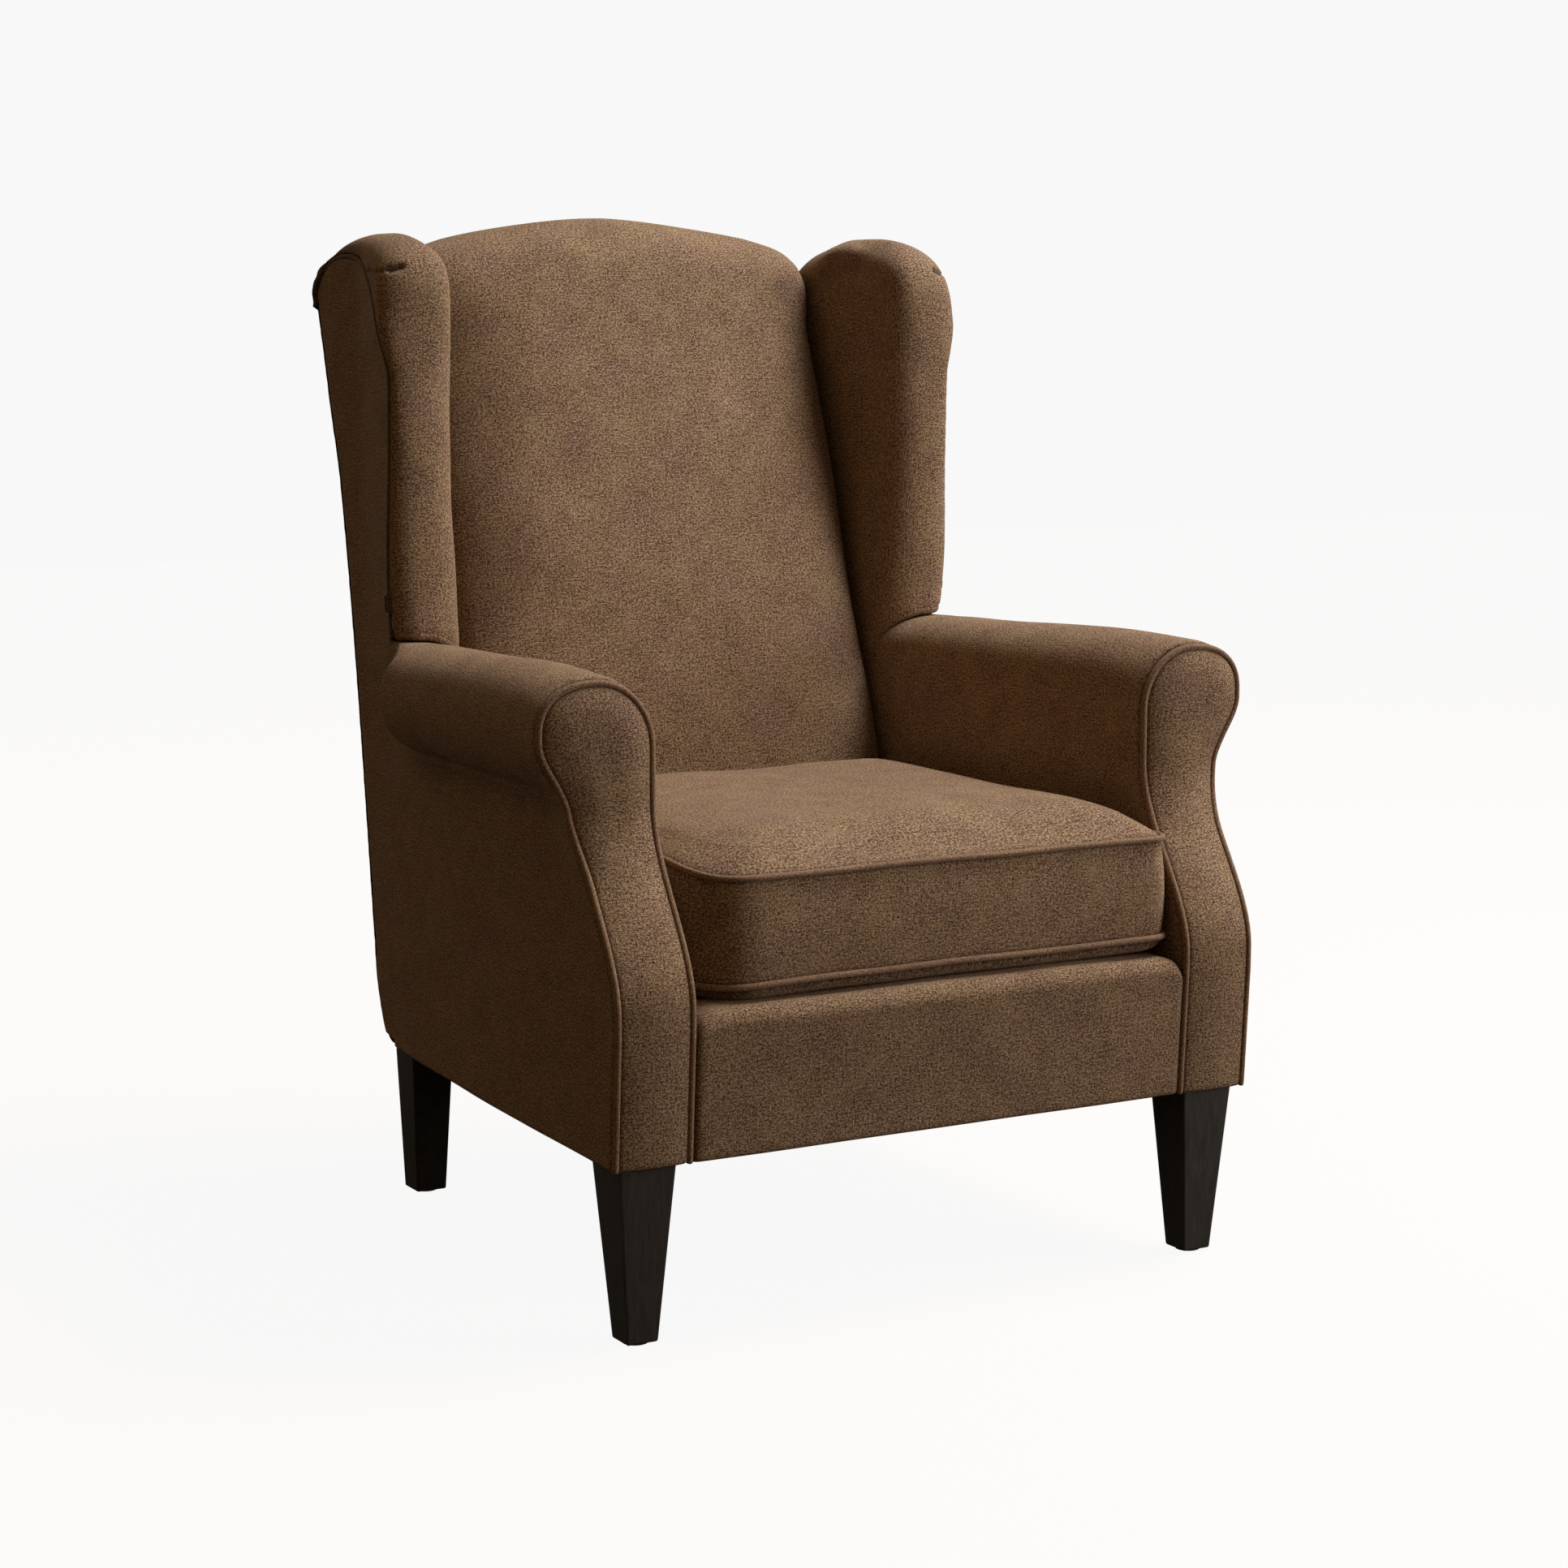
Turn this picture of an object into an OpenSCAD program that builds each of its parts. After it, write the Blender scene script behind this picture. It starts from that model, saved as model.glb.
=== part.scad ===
// Wing-back fireside chair, built as a timber frame with webbing, springs, pads and covers.
// Left and right are as seen from the front. Depth is counted from the front of the arm
// facings and the whole chair is then moved so that its origin is under its middle.

/* [Body] */
// Width over the arm facings, below the rolls
body_w = 703; // [660:1:760]
// Height of the covered body's lower edge above the floor
base_z = 171; // [150:1:190]
// How much each side draws in from the front to the back
side_taper = 38; // [20:1:45]
// Depth at which the sides have drawn in fully
taper_depth = 650; // [600:1:700]
// Thickness of the outer fabric panels and their padding
panel_t = 10; // [8:0.5:12]
// Height of the seat platform
deck_top_z = 311; // [305:1:318]

/* [Arms] */
// Width of an arm facing below the roll
facing_w = 80; // [74:1:86]
// Radius of the rolled arm at the front
roll_r = 61; // [54:1:64]
// Height of the roll's centre at the front
roll_z = 560; // [540:1:580]
// Distance that the roll's centre lies in from the side of the body
roll_inset = 19.5; // [12:0.5:26]
// How far the roll's top falls from the front to the back
roll_drop = 16; // [6:1:20]
// How far the facing sweeps back towards its top
facing_sweep = 82; // [60:1:90]
// Height at which the sweep starts
sweep_low_z = 314; // [300:1:330]
// Height at which the sweep ends
sweep_high_z = 494; // [470:1:510]
// How far the arms toe in towards the back
arm_toe = 20.5; // [10:0.5:24]
// Thickness of the arm padding
arm_pad_t = 16; // [12:1:18]
// Crown of the facing's padding
facing_crown = 5; // [2:0.5:8]

/* [Back] */
// Height of the crest at the middle
crest_z = 1038; // [1000:1:1070]
// Radius of the crest's arc
crest_r = 770; // [700:10:1200]
// Depth of the inside back's face at the seat
back_seat_y = 520; // [505:1:530]
// Height at which that depth is taken
back_seat_z = 443; // [430:1:455]
// Backward slope of the inside back, as a share of its height
back_slope = 0.273; // [0.2:0.001:0.3]
// How far the creases beside the inside back lie in from the body's sides
back_inset = 101.5; // [97.5:0.5:107.5]
// How much the inside back narrows at each side up to the crest
crest_pinch = 17; // [8:1:24]
// Forward swell of the inside back
back_swell = 14; // [6:1:18]
// Depth of the outside back at the top of the lower rounding
rear_y = 652; // [640:1:670]
// Backward slope of the outside back low down
rear_slope = 0.125; // [0.08:0.005:0.15]
// How far the outside back curves further back at the top
rear_sabre = 61; // [40:1:70]
// Rearward swell of the outside back
rear_swell = 8; // [4:1:12]

/* [Wings] */
// Depth of the wing's front
wing_front_y = 530; // [520:1:536]
// Height of the wing's lower edge
wing_base_z = 606.5; // [606:0.5:610]
// Height of the wing's highest point
wing_top_z = 1019; // [1000:1:1030]
// Depth of the wing's highest point
wing_top_y = 640; // [630:1:655]
// How far the wings' inner faces lie in from the body's sides, at their fronts
wing_inset = 83.5; // [79.5:0.5:89.5]
// How far the wings flare outwards at the top
wing_flare = 17; // [8:1:22]

/* [Cushion] */
// Height of the upper piping of the seat cushion
cushion_top_z = 429; // [420:1:440]
// Height of the lower piping of the seat cushion
cushion_low_z = 328; // [324:1:332]
// Crown above the upper piping
cushion_crown = 30; // [16:1:40]
// Bulge below the lower piping
cushion_under = 15.5; // [10:0.5:16]
// Thickness of the cushion's cover with its wadding
cover_t = 3; // [2:0.5:4]
// Diameter of the cushion's piping
cushion_pipe_d = 6; // [5:0.5:7]

/* [Piping] */
// Diameter of the piping on the arms and wings
pipe_d = 8; // [6:0.5:9]

/* [Legs] */
// Thickness of the glide under each foot
glide_t = 2; // [1:0.5:4]
// Width of a front leg at the top
front_leg_top = 58; // [50:1:60]
// Width of a front leg at the floor
front_leg_foot = 32; // [26:1:40]
// Width of a rear leg at the top
rear_leg_top = 46; // [40:1:50]
// Width of a rear leg at the floor
rear_leg_foot = 34; // [28:1:40]
// How far the rear feet rake back
rear_rake = 67; // [30:1:75]
// How far the rear feet come in
rear_tuck = 28; // [0:1:30]

/* [Frame] */
// Thickness of the seat rails
rail_t = 26; // [22:1:30]
// Height of the seat rails
rail_h = 94; // [80:1:96]
// Width of the front posts
post_w = 46; // [40:1:48]
// Depth of the back posts
post_d = 40; // [30:1:42]
// Thickness of the back posts
post_t = 32; // [26:1:34]
// Number of seat springs
spring_count = 5; // [4:1:7]
// Number of back webs
web_count = 7; // [5:1:8]

/* [Hidden] */

// Gap between neighbouring pieces
clear = 0.3;
// Overrun of a cut past a face
over = 1;
// Allowance between a faceted pad and its neighbours, and between timbers and covers
pad_gap = 1;
seam_slack = 1.5;
frame_gap = 2;
// Half width of the body at the front
half_w = body_w / 2;
// Half widths between the creases and between the wings
back_half_w = half_w - back_inset;
wing_inner_w = half_w - wing_inset;
// Inner face of the arm at the front
arm_in = half_w - facing_w;
// Centre of the roll at the front
roll_x = half_w - roll_inset;
// Depth over which the roll falls and the arm toes in
roll_start_y = 80;
roll_run = 470;
// How far the roll's centre comes in over that run
roll_toe = 14;
// Depths between which the roll's outer bulge fades into the side
bulge_full_y = 440;
bulge_end_y = 505;
// Rear end of the roll's cover, under the wing
arm_end_y = 560;
// Rear end of the arm's inner padding, hidden beside the back
arm_tail_y = 600;
// Lower end of the arm's inner padding
arm_low_z = 285;
// Height at which the facing starts to widen into the roll, and where it meets the circle
neck_z = 430;
kink_z = 510;
// Seat of the piping behind the facing's edge
pipe_seat = pipe_d + frame_gap;
// Lean of the facing's lower end
tuck_z = 294;
tuck = 7.6;
// Rounding at the foot of the outside back
rear_round_z = 111;
rear_round_y = 52;
// Share of the outside back's curve that falls near its top
sabre_power = 3.5;
// Drop from the wing's top to its front's shoulder, and to the seam's top and shoulder
shoulder_drop = 84;
seam_drop = 22;
seam_shoulder_drop = 67;
wing_shoulder_z = wing_top_z - shoulder_drop;
seam_front_y = 543;
seam_top_z = wing_top_z - seam_drop;
seam_shoulder_z = seam_top_z - seam_shoulder_drop;
// Rear end of the wing's top, and how far top and seam fall there
wing_rear_y = 769;
wing_fall = 42;
seam_fall = 34;
fall_power = 1.8;
seam_power = 1.3;
// Depth of the wing padding in front of and above its board
wing_pad_front = 41;
// Depth of the wing padding's inner edge below its top, at the rear
wing_skirt = 34;
// Wing padding's run behind the crease
wing_tail = 30;
// Depth of the rounding on the inner side of the wing's front
wing_round = 40;

function clamp(v) = min(1, max(0, v));
function mix(a, b, t) = a + (b - a) * t;
function ease(t) = clamp(t) * clamp(t) * (3 - 2 * clamp(t));
function steps(n) = [for (i = [0 : n]) i / n];
function backwards(list) = [for (i = [len(list) - 1 : -1 : 0]) list[i]];

// Depth of the facing's edge at a height
function facing_y(z) = facing_sweep * ease((z - sweep_low_z) / (sweep_high_z - sweep_low_z))
    + tuck * clamp((tuck_z - z) / (tuck_z - base_z));

// Half width of the side's outer face at a depth and a height
function flare_share(z) = sqrt(clamp((z - roll_z) / (wing_top_z - roll_z)));
function flare_fade(y) = clamp((taper_depth - y) / (taper_depth - seam_front_y));
function outer_x(y, z = 0) = half_w - side_taper * pow(clamp(y / taper_depth), taper_power)
    + wing_flare * flare_share(z) * flare_fade(y);
taper_power = 1.6;

// Half width of the arm's inner face at a depth
function arm_x(y) = arm_in - arm_toe * clamp((y - roll_start_y) / (back_seat_y - roll_start_y));

// Roll's centre and radius at a depth
function roll_share(y) = (y - roll_start_y) / roll_run;
function roll_cx(y) = roll_x - roll_toe * roll_share(y);
function roll_cz(y) = roll_z - roll_drop / 2 * roll_share(y);
function roll_cr(y) = roll_r - roll_drop / 2 * roll_share(y);
function bulge(y) = sqrt(1 - pow(clamp((y - bulge_full_y) / (bulge_end_y - bulge_full_y)), 2));

// Inside back: depth of its face at the crease, half width at the crease, crest height
function back_y(z) = back_seat_y + back_slope * (z - back_seat_z);
pinch_z = 740;
pinch_power = 1.3;
crest_side_z = 1000;
function crease_x(z) = back_half_w
    - crest_pinch * pow(clamp((z - pinch_z) / (crest_side_z - pinch_z)), pinch_power);
function crest_height(x) = crest_z - crest_r + sqrt(crest_r * crest_r - x * x);

// Outside back: depth at a height, from the rounding's top upwards
round_top_z = base_z + rear_round_z;
function rear_line(z) = rear_y + rear_slope * (z - round_top_z)
    + rear_sabre * pow(clamp((z - round_top_z) / (crest_z - round_top_z)), sabre_power);
// The same with the rounding at the foot, drawn in by d
function round_drop(z, d) = (rear_round_y - d)
    * (1 - sqrt(1 - pow(clamp((round_top_z - z) / (rear_round_z - d)), 2)));
function rear_inset(z, d) = z >= round_top_z ? rear_line(z) - d : rear_y - d - round_drop(z, d);
post_back = 12;
function post_front_y(z) = rear_line(max(z, base_z)) - post_back - post_d;

// Depth of the whole chair, for the origin
rear_seam_drop = 5;
rear_most_y = rear_line(crest_z - rear_seam_drop) + rear_swell;
mid_y = (rear_most_y - facing_crown) / 2;

// Closed solid between two grids of points with the same rows and columns.
// Rows rise and columns run to the right, as seen from the side of the first grid.
module slab(face, back) {
    rows = len(face) - 1;
    cols = len(face[0]) - 1;
    wide = cols + 1;
    far = len(face) * wide;
    faces = concat(
        [for (i = [0 : rows - 1]) for (j = [0 : cols - 1]) each [
            [i * wide + j, (i + 1) * wide + j, (i + 1) * wide + j + 1],
            [i * wide + j, (i + 1) * wide + j + 1, i * wide + j + 1],
            [far + i * wide + j, far + (i + 1) * wide + j + 1, far + (i + 1) * wide + j],
            [far + i * wide + j, far + i * wide + j + 1, far + (i + 1) * wide + j + 1]]],
        [for (j = [0 : cols - 1]) each [
            [j, j + 1, far + j + 1],
            [j, far + j + 1, far + j],
            [rows * wide + j + 1, rows * wide + j, far + rows * wide + j],
            [rows * wide + j + 1, far + rows * wide + j, far + rows * wide + j + 1]]],
        [for (i = [0 : rows - 1]) each [
            [(i + 1) * wide, i * wide, far + i * wide],
            [(i + 1) * wide, far + i * wide, far + (i + 1) * wide],
            [i * wide + cols, (i + 1) * wide + cols, far + (i + 1) * wide + cols],
            [i * wide + cols, far + (i + 1) * wide + cols, far + i * wide + cols]]]);
    polyhedron(concat([for (row = face) each row], [for (row = back) each row]), faces);
}

// Closed solid through rings of points, capped at both ends or wrapped into a band
module loft(rings, wrap = false) {
    count = len(rings[0]);
    last = len(rings) - 1;
    spans = wrap ? last : last - 1;
    sides = [for (i = [0 : spans]) for (j = [0 : count - 1])
        let (n = (i + 1) % len(rings), k = (j + 1) % count) each [
            [i * count + j, n * count + j, n * count + k],
            [i * count + j, n * count + k, i * count + k]]];
    caps = wrap ? [] : [
        [for (j = [0 : count - 1]) j],
        [for (j = [count - 1 : -1 : 0]) last * count + j]];
    polyhedron([for (ring = rings) each ring], concat(sides, caps));
}

function unit(v) = v / norm(v);
// Rings of a tube of diameter d along a path, turned about the direction up
function tube_ring(p, t, up, d, sides) = let (u = unit(cross(up, t)), w = cross(t, u))
    [for (k = [0 : sides - 1]) p + d / 2 * (u * cos(360 * k / sides) + w * sin(360 * k / sides))];
function tube_rings(path, up, d, sides, closed = false) = [for (i = [0 : len(path) - 1])
    let (n = len(path),
        a = path[closed ? (i + n - 1) % n : max(0, i - 1)],
        b = path[closed ? (i + 1) % n : min(n - 1, i + 1)])
    tube_ring(path[i], unit(b - a), up, d, sides)];

// Plate from an outline in depth and height, between two half widths
module side_plate(outline, x0, x1) {
    translate([x0, 0, 0])
        rotate([90, 0, 90])
            linear_extrude(x1 - x0)
                polygon(outline);
}

// Moves everything so that the origin is under the middle of the chair
module placed(side = 1) {
    translate([0, -mid_y, 0])
        if (side > 0)
            children();
        else
            mirror([1, 0, 0])
                children();
}

timber = "burlywood";
fabric = "saddlebrown";
trim = "sienna";

/* Frame */
// Underside of the timber frame above the body's lower edge
frame_lift = 5;
frame_z = base_z + frame_lift;
rail_top_z = frame_z + rail_h;
// Front rail's face behind the front border
border_t = 14;
rail_front_y = tuck + pad_gap + border_t + frame_gap;
// Plan of the side rails: outer half widths at their ends
rail_gap = 14;
front_post_d = 55;
side_rail_y = tuck + pipe_seat + front_post_d + pad_gap + clear;
rear_face_y = post_front_y(base_z);
rear_rail_y = rear_face_y - rail_t / 2 - frame_gap;
rail_x0 = half_w - rail_gap - frame_gap;
rail_x1 = outer_x(rear_face_y) - panel_t - 3 * frame_gap;
function rail_x(y) = mix(rail_x0, rail_x1, (y - side_rail_y) / (rear_face_y - side_rail_y));
post_out_x = half_w - side_taper - panel_t - pad_gap;
post_in_x = post_out_x - post_t;
front_post_out = half_w - panel_t - 2 * frame_gap;
front_post_in = front_post_out - post_w;

module front_rail() color(timber) difference() {
    placed()
        translate([-front_post_in + clear, rail_front_y, frame_z])
            cube([2 * (front_post_in - clear), rail_t, rail_h]);
    screws(clear);
}

module rear_rail() color(timber) difference() {
    placed()
        translate([-post_in_x + clear, rear_rail_y, frame_z + rear_rail_lift])
            cube([2 * (post_in_x - clear), rail_t, rail_h - rear_rail_lift]);
    screws(clear);
}
rear_rail_lift = 6;

// Bore for a leg bolt in the timber above it
bolt_d = 8;
bolt_up = 45;
bolt_down = 38;
module bolt_bore(x, y) translate([x, y, frame_z - over])
    cylinder(d = bolt_d + 2 * clear, h = bolt_up + 2 * over, $fn = 24);

// Places of the legs
front_leg_in = 38;
front_leg_x = half_w - front_leg_in;
front_leg_y = 47;
rear_leg_out = 5;
rear_leg_back = 9;
rear_leg_x = (post_in_x + post_out_x) / 2 + rear_leg_out;
rear_leg_y = rear_face_y - rear_leg_top / 2 + rear_leg_back;

module side_rail(side) color(timber) placed(side) difference() {
    translate([0, 0, frame_z])
        linear_extrude(rail_h)
            polygon([[rail_x(side_rail_y), side_rail_y], [rail_x(rear_end), rear_end],
                [rail_x(rear_end) - rail_t, rear_end], [rail_x(side_rail_y) - rail_t, side_rail_y]]);
    bolt_bore(rear_leg_x, rear_leg_y);
}
rear_end = rear_face_y - clear;
module left_side_rail() side_rail(-1);
module right_side_rail() side_rail(1);

// Screws that hold the corner blocks to the front and rear rails
screw_d = 5;
screw_bite = 12;
block_h = 60;
front_block = [40, 24];
rear_block = [42, 40];
front_block_y = rail_front_y + rail_t + clear;
rear_corner_x = rail_x(rear_rail_y) - rail_t - 2 * clear;
rear_corner_y = rear_rail_y - clear;
module screws(grow) for (side = [-1, 1]) placed(side) {
    translate([front_post_in - front_block[0] / 3, front_block_y - screw_bite - grow, frame_z + block_h / 2])
        rotate([-90, 0, 0])
            cylinder(d = screw_d + 2 * grow, h = screw_bite + front_block[1] / 2 + 2 * grow, $fn = 24);
    translate([rear_corner_x - rear_block[0] / 3, rear_corner_y + screw_bite + grow, frame_z + block_h / 2])
        rotate([90, 0, 0])
            cylinder(d = screw_d + 2 * grow, h = screw_bite + rear_block[1] / 2 + 2 * grow, $fn = 24);
}
module block_screws() color("gray") screws(0);

// Triangular blocks that brace the seat frame's corners
module corner_block_pair() for (side = [-1, 1]) placed(side)
    translate([0, 0, frame_z + rear_rail_lift])
        linear_extrude(block_h) {
            polygon([[front_post_in - clear, front_block_y], [front_post_in - front_block[0], front_block_y],
                [front_post_in - clear, front_block_y + front_block[1]]]);
            polygon([[rear_corner_x, rear_corner_y], [rear_corner_x - rear_block[0], rear_corner_y],
                [rear_corner_x, rear_corner_y - rear_block[1]]]);
        }
module corner_blocks() color(timber) difference() {
    corner_block_pair();
    screws(clear);
}

// Front post: its front edge follows the sweep of the facing, with a disc for the roll
roll_core_r = 36;
post_drop = 2.5;
post_top_z = roll_z - roll_core_r - post_drop;
disc_t = 30;
disc_gap = 3;
disc_ease = 5;
disc_y = facing_sweep + pipe_seat + disc_gap;
post_rows = 18;
post_heights = [for (s = steps(post_rows)) mix(frame_z, post_top_z, s)];
function post_edge(d) = [for (z = post_heights) [facing_y(z) + pipe_seat + pad_gap + d, z]];
module arm_post(side) color(timber) placed(side) difference() {
    union() {
        side_plate(concat(post_edge(0), backwards(post_edge(front_post_d - clear))),
            front_post_in, front_post_out);
        translate([roll_x, disc_y, roll_z])
            rotate([-90, 0, 0])
                cylinder(r = roll_r - arm_pad_t - disc_ease, h = disc_t, $fn = 32);
    }
    bolt_bore(front_leg_x, front_leg_y);
}
module left_arm_post() arm_post(-1);
module right_arm_post() arm_post(1);

// Horizontal arm rail from the front post to the back post
arm_rail_h = 46;
core_drop = 8;
arm_rail_top = roll_z - roll_core_r - core_drop;
arm_rail_start = 27;
arm_rail_y0 = disc_y + disc_t + arm_rail_start;
arm_rail_in = [23, 16];
arm_rail_x0 = half_w - arm_rail_in[0];
arm_rail_x1 = half_w - side_taper - arm_rail_in[1];
module arm_rail(side) color(timber) placed(side) {
    y1 = post_front_y(arm_rail_top - arm_rail_h) - clear;
    translate([0, 0, arm_rail_top - arm_rail_h])
        linear_extrude(arm_rail_h)
            polygon([[arm_rail_x0, arm_rail_y0], [arm_rail_x1, y1],
                [arm_rail_x1 - rail_t, y1], [arm_rail_x0 - rail_t, arm_rail_y0]]);
}
module left_arm_rail() arm_rail(-1);
module right_arm_rail() arm_rail(1);

// Round timber that carries the roll of the arm
module roll_core(side) color(timber) placed(side) {
    y0 = disc_y + disc_t + seam_slack;
    fall = atan(roll_drop / 2 / roll_run);
    toe = atan(roll_toe / roll_run);
    translate([roll_cx(y0), y0, roll_cz(y0)])
        rotate([-90 - fall, 0, toe])
            cylinder(r = roll_core_r, h = bulge_full_y - y0, $fn = 32);
}
module left_roll_core() roll_core(-1);
module right_roll_core() roll_core(1);

// Back posts, raked with the outside back
back_post_top = wing_shoulder_z;
back_post_rows = 16;
back_heights = [for (s = steps(back_post_rows)) mix(frame_z + rear_rail_lift, back_post_top, s)];
module back_post(side) color(timber) placed(side)
    side_plate(concat([for (z = back_heights) [rear_inset(z, post_back), z]],
        backwards([for (z = back_heights) [post_front_y(z), z]])), post_in_x, post_out_x);
module left_back_post() back_post(-1);
module right_back_post() back_post(1);

back_rail_z = 318;
back_rail_h = 44;
rail_set = 6;
module back_lower_rail() color(timber) placed()
    translate([-post_in_x + clear, post_front_y(back_rail_z) + rail_set, back_rail_z])
        cube([2 * (post_in_x - clear), rail_t, back_rail_h]);

// Shaped rail under the crest
crest_rail_low = 890;
crest_rail_cover = 28;
crest_rail_mid = 950;
crest_rail_end = 934;
arch_margin = 40.5;
crest_rail_arch = post_in_x - arch_margin;
crest_rake = atan(rear_slope + rear_sabre * sabre_power / (crest_z - round_top_z));
arch_shares = [-1, -0.75, -0.5, -0.25, 0, 0.25, 0.5, 0.75, 1];
module crest_rail() color(timber) placed()
    translate([0, post_front_y(crest_rail_mid) + rail_set, crest_rail_mid])
        rotate([90 - crest_rake, 0, 0])
            mirror([0, 0, 1])
                linear_extrude(rail_t)
                    polygon(concat(
                        [[post_in_x - clear, crest_rail_low - crest_rail_mid],
                            [post_in_x - clear, crest_rail_end - crest_rail_mid],
                            [crest_rail_arch, crest_rail_end - crest_rail_mid]],
                        [for (s = backwards(arch_shares)) [s * crest_rail_arch,
                            crest_height(s * crest_rail_arch) - crest_rail_cover - crest_rail_mid]],
                        [[-crest_rail_arch, crest_rail_end - crest_rail_mid],
                            [-post_in_x + clear, crest_rail_end - crest_rail_mid],
                            [-post_in_x + clear, crest_rail_low - crest_rail_mid]]));

// Wing curves in depth and height: the outermost line of the padding, and the seam
arc_steps = 8;
fall_steps = 6;
front_steps = 5;
function wing_edge(d, top_d) = concat(
    [for (s = steps(front_steps)) [wing_front_y + d, mix(wing_base_z, wing_shoulder_z, s)]],
    [for (s = steps(arc_steps)) if (s > 0) [wing_top_y - (wing_top_y - wing_front_y - d) * cos(90 * s),
        wing_shoulder_z + (wing_top_z - wing_shoulder_z - top_d) * sin(90 * s)]],
    [for (s = steps(fall_steps)) if (s > 0) [mix(wing_top_y, wing_rear_y, s),
        wing_top_z - top_d - wing_fall * pow(s, fall_power)]]);
function seam_edge(d) = concat(
    [for (s = steps(front_steps)) [seam_front_y + d, mix(wing_base_z, seam_shoulder_z, s)]],
    [for (s = steps(arc_steps)) if (s > 0) [wing_top_y - (wing_top_y - seam_front_y - d) * cos(90 * s),
        seam_shoulder_z + (seam_top_z - seam_shoulder_z - d) * sin(90 * s)]],
    [for (s = steps(fall_steps)) if (s > 0) [mix(wing_top_y, wing_rear_y, s),
        seam_top_z - d - seam_fall * pow(s, seam_power)]]);
// Inner end of the padding, behind the crease and then along the top
tail_drop = 34;
tail_run = 105;
tail_top_z = wing_top_z - tail_drop;
tail_z = tail_top_z - tail_run;
tail_short = 11;
function tail_edge() = concat(
    [for (s = steps(front_steps)) let (z = mix(wing_base_z, tail_z, s)) [back_y(z) + wing_tail, z]],
    [for (s = steps(arc_steps)) if (s > 0) let (z = mix(tail_z, tail_top_z, s)) [back_y(z) + wing_tail, z]],
    [for (s = steps(fall_steps)) if (s > 0) [mix(back_y(tail_top_z) + wing_tail, wing_rear_y - tail_short, s),
        mix(tail_top_z, wing_top_z - wing_fall - wing_skirt, s)]]);

board_t = 20;
board_out = post_out_x - clear;
board_in = board_out - board_t;
board_slack = 6;
board_d = wing_pad_front + board_slack;
board_top_d = wing_skirt + board_slack;
board_low_z = wing_base_z + pad_gap;
board_edge = [for (p = wing_edge(board_d, board_top_d))
    if (p[1] > board_low_z && p[0] < post_front_y(p[1]) - clear) p];
module wing_board(side) color(timber) placed(side)
    side_plate(concat([[wing_front_y + board_d, board_low_z]], board_edge,
        [for (s = steps(6)) let (z = mix(board_rear_z, board_low_z, s)) [post_front_y(z) - clear, z]]),
        board_in, board_out);
board_rear_drop = 79;
board_rear_z = wing_top_z - board_rear_drop;
module left_wing_board() wing_board(-1);
module right_wing_board() wing_board(1);

/* Springs, webs and platform */
wire_d = 3.5;
spring_swing = 20;
spring_bends = 9;
spring_hold = 6;
spring_side = 40;
spring_y0 = rail_front_y + spring_hold;
spring_y1 = rear_rail_y + rail_t - spring_hold;
spring_pitch = (spring_y1 - spring_y0) / spring_bends;
spring_reach = back_half_w - spring_side;
// One snaking spring: a flat wave with straight crossings and short ends
wave_shares = [[0.14, 0.5], [0.36, 0.5], [0.64, -0.5], [0.86, -0.5]];
wave = concat([[0, spring_y0]], [for (i = [0 : spring_bends - 1]) for (w = wave_shares)
    [2 * spring_swing * w[1], spring_y0 + spring_pitch * (i + w[0])]], [[0, spring_y1]]);
function across(i) = unit(wave[min(i + 1, len(wave) - 1)] - wave[max(i - 1, 0)]);
module spring() translate([0, 0, rail_top_z + clear])
    linear_extrude(wire_d)
        polygon(concat(
            [for (i = [0 : len(wave) - 1]) wave[i] + wire_d / 2 * [-across(i)[1], across(i)[0]]],
            backwards([for (i = [0 : len(wave) - 1]) wave[i] - wire_d / 2 * [-across(i)[1], across(i)[0]]])));
spring_places = [for (i = [0 : spring_count - 1]) mix(-spring_reach, spring_reach, i / (spring_count - 1))];
module seat_springs() color("silver") placed()
    for (x = spring_places)
        translate([x, 0, 0])
            spring();

// Clips over the spring ends
clip = [18, 10, 1.5];
clip_leg = 5;
module spring_clips() color("gray") placed()
    for (x = spring_places, rear = [0, 1]) {
        y = rear ? rear_rail_y + rail_t - clip[1] : rail_front_y;
        translate([x - clip[0] / 2, y, rail_top_z + wire_d + 2 * clear])
            cube(clip);
        for (side = [0, 1])
            translate([x - clip[0] / 2 + side * (clip[0] - clip[2]),
                    y + rear * (clip[1] - clip_leg), rail_top_z])
                cube([clip[2], clip_leg, wire_d + 3 * clear]);
    }

web_h = 48;
web_t = 2.6;
web_gap = 0.8;
web_reach = board_in - clear;
web_low = 346;
web_high = 890;
module back_webbing() color("dimgray") placed()
    for (i = [0 : web_count - 1]) {
        z = mix(web_low, web_high, i / (web_count - 1));
        rake = atan((post_front_y(z + web_h / 2) - post_front_y(z - web_h / 2)) / web_h);
        translate([-web_reach, post_front_y(z) - web_gap, z])
            rotate([-rake, 0, 0])
                translate([0, -web_t, -web_h / 2])
                    cube([2 * web_reach, web_t, web_h]);
    }

// Padded platform under the cushion
deck_y0 = 60.5;
deck_short = 4;
deck_y1 = rear_face_y - deck_short;
deck_low_z = rail_top_z + wire_d + clip[2] + 3 * clear;
deck_side = 0.8;
deck_depths = [deck_y0, roll_start_y, back_seat_y, deck_y1];
module seat_deck() color("peru") placed()
    translate([0, 0, deck_low_z])
        linear_extrude(deck_top_z - deck_low_z)
            polygon(concat([for (y = deck_depths) [arm_x(y) - deck_side, y]],
                backwards([for (y = deck_depths) [deck_side - arm_x(y), y]])));

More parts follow.
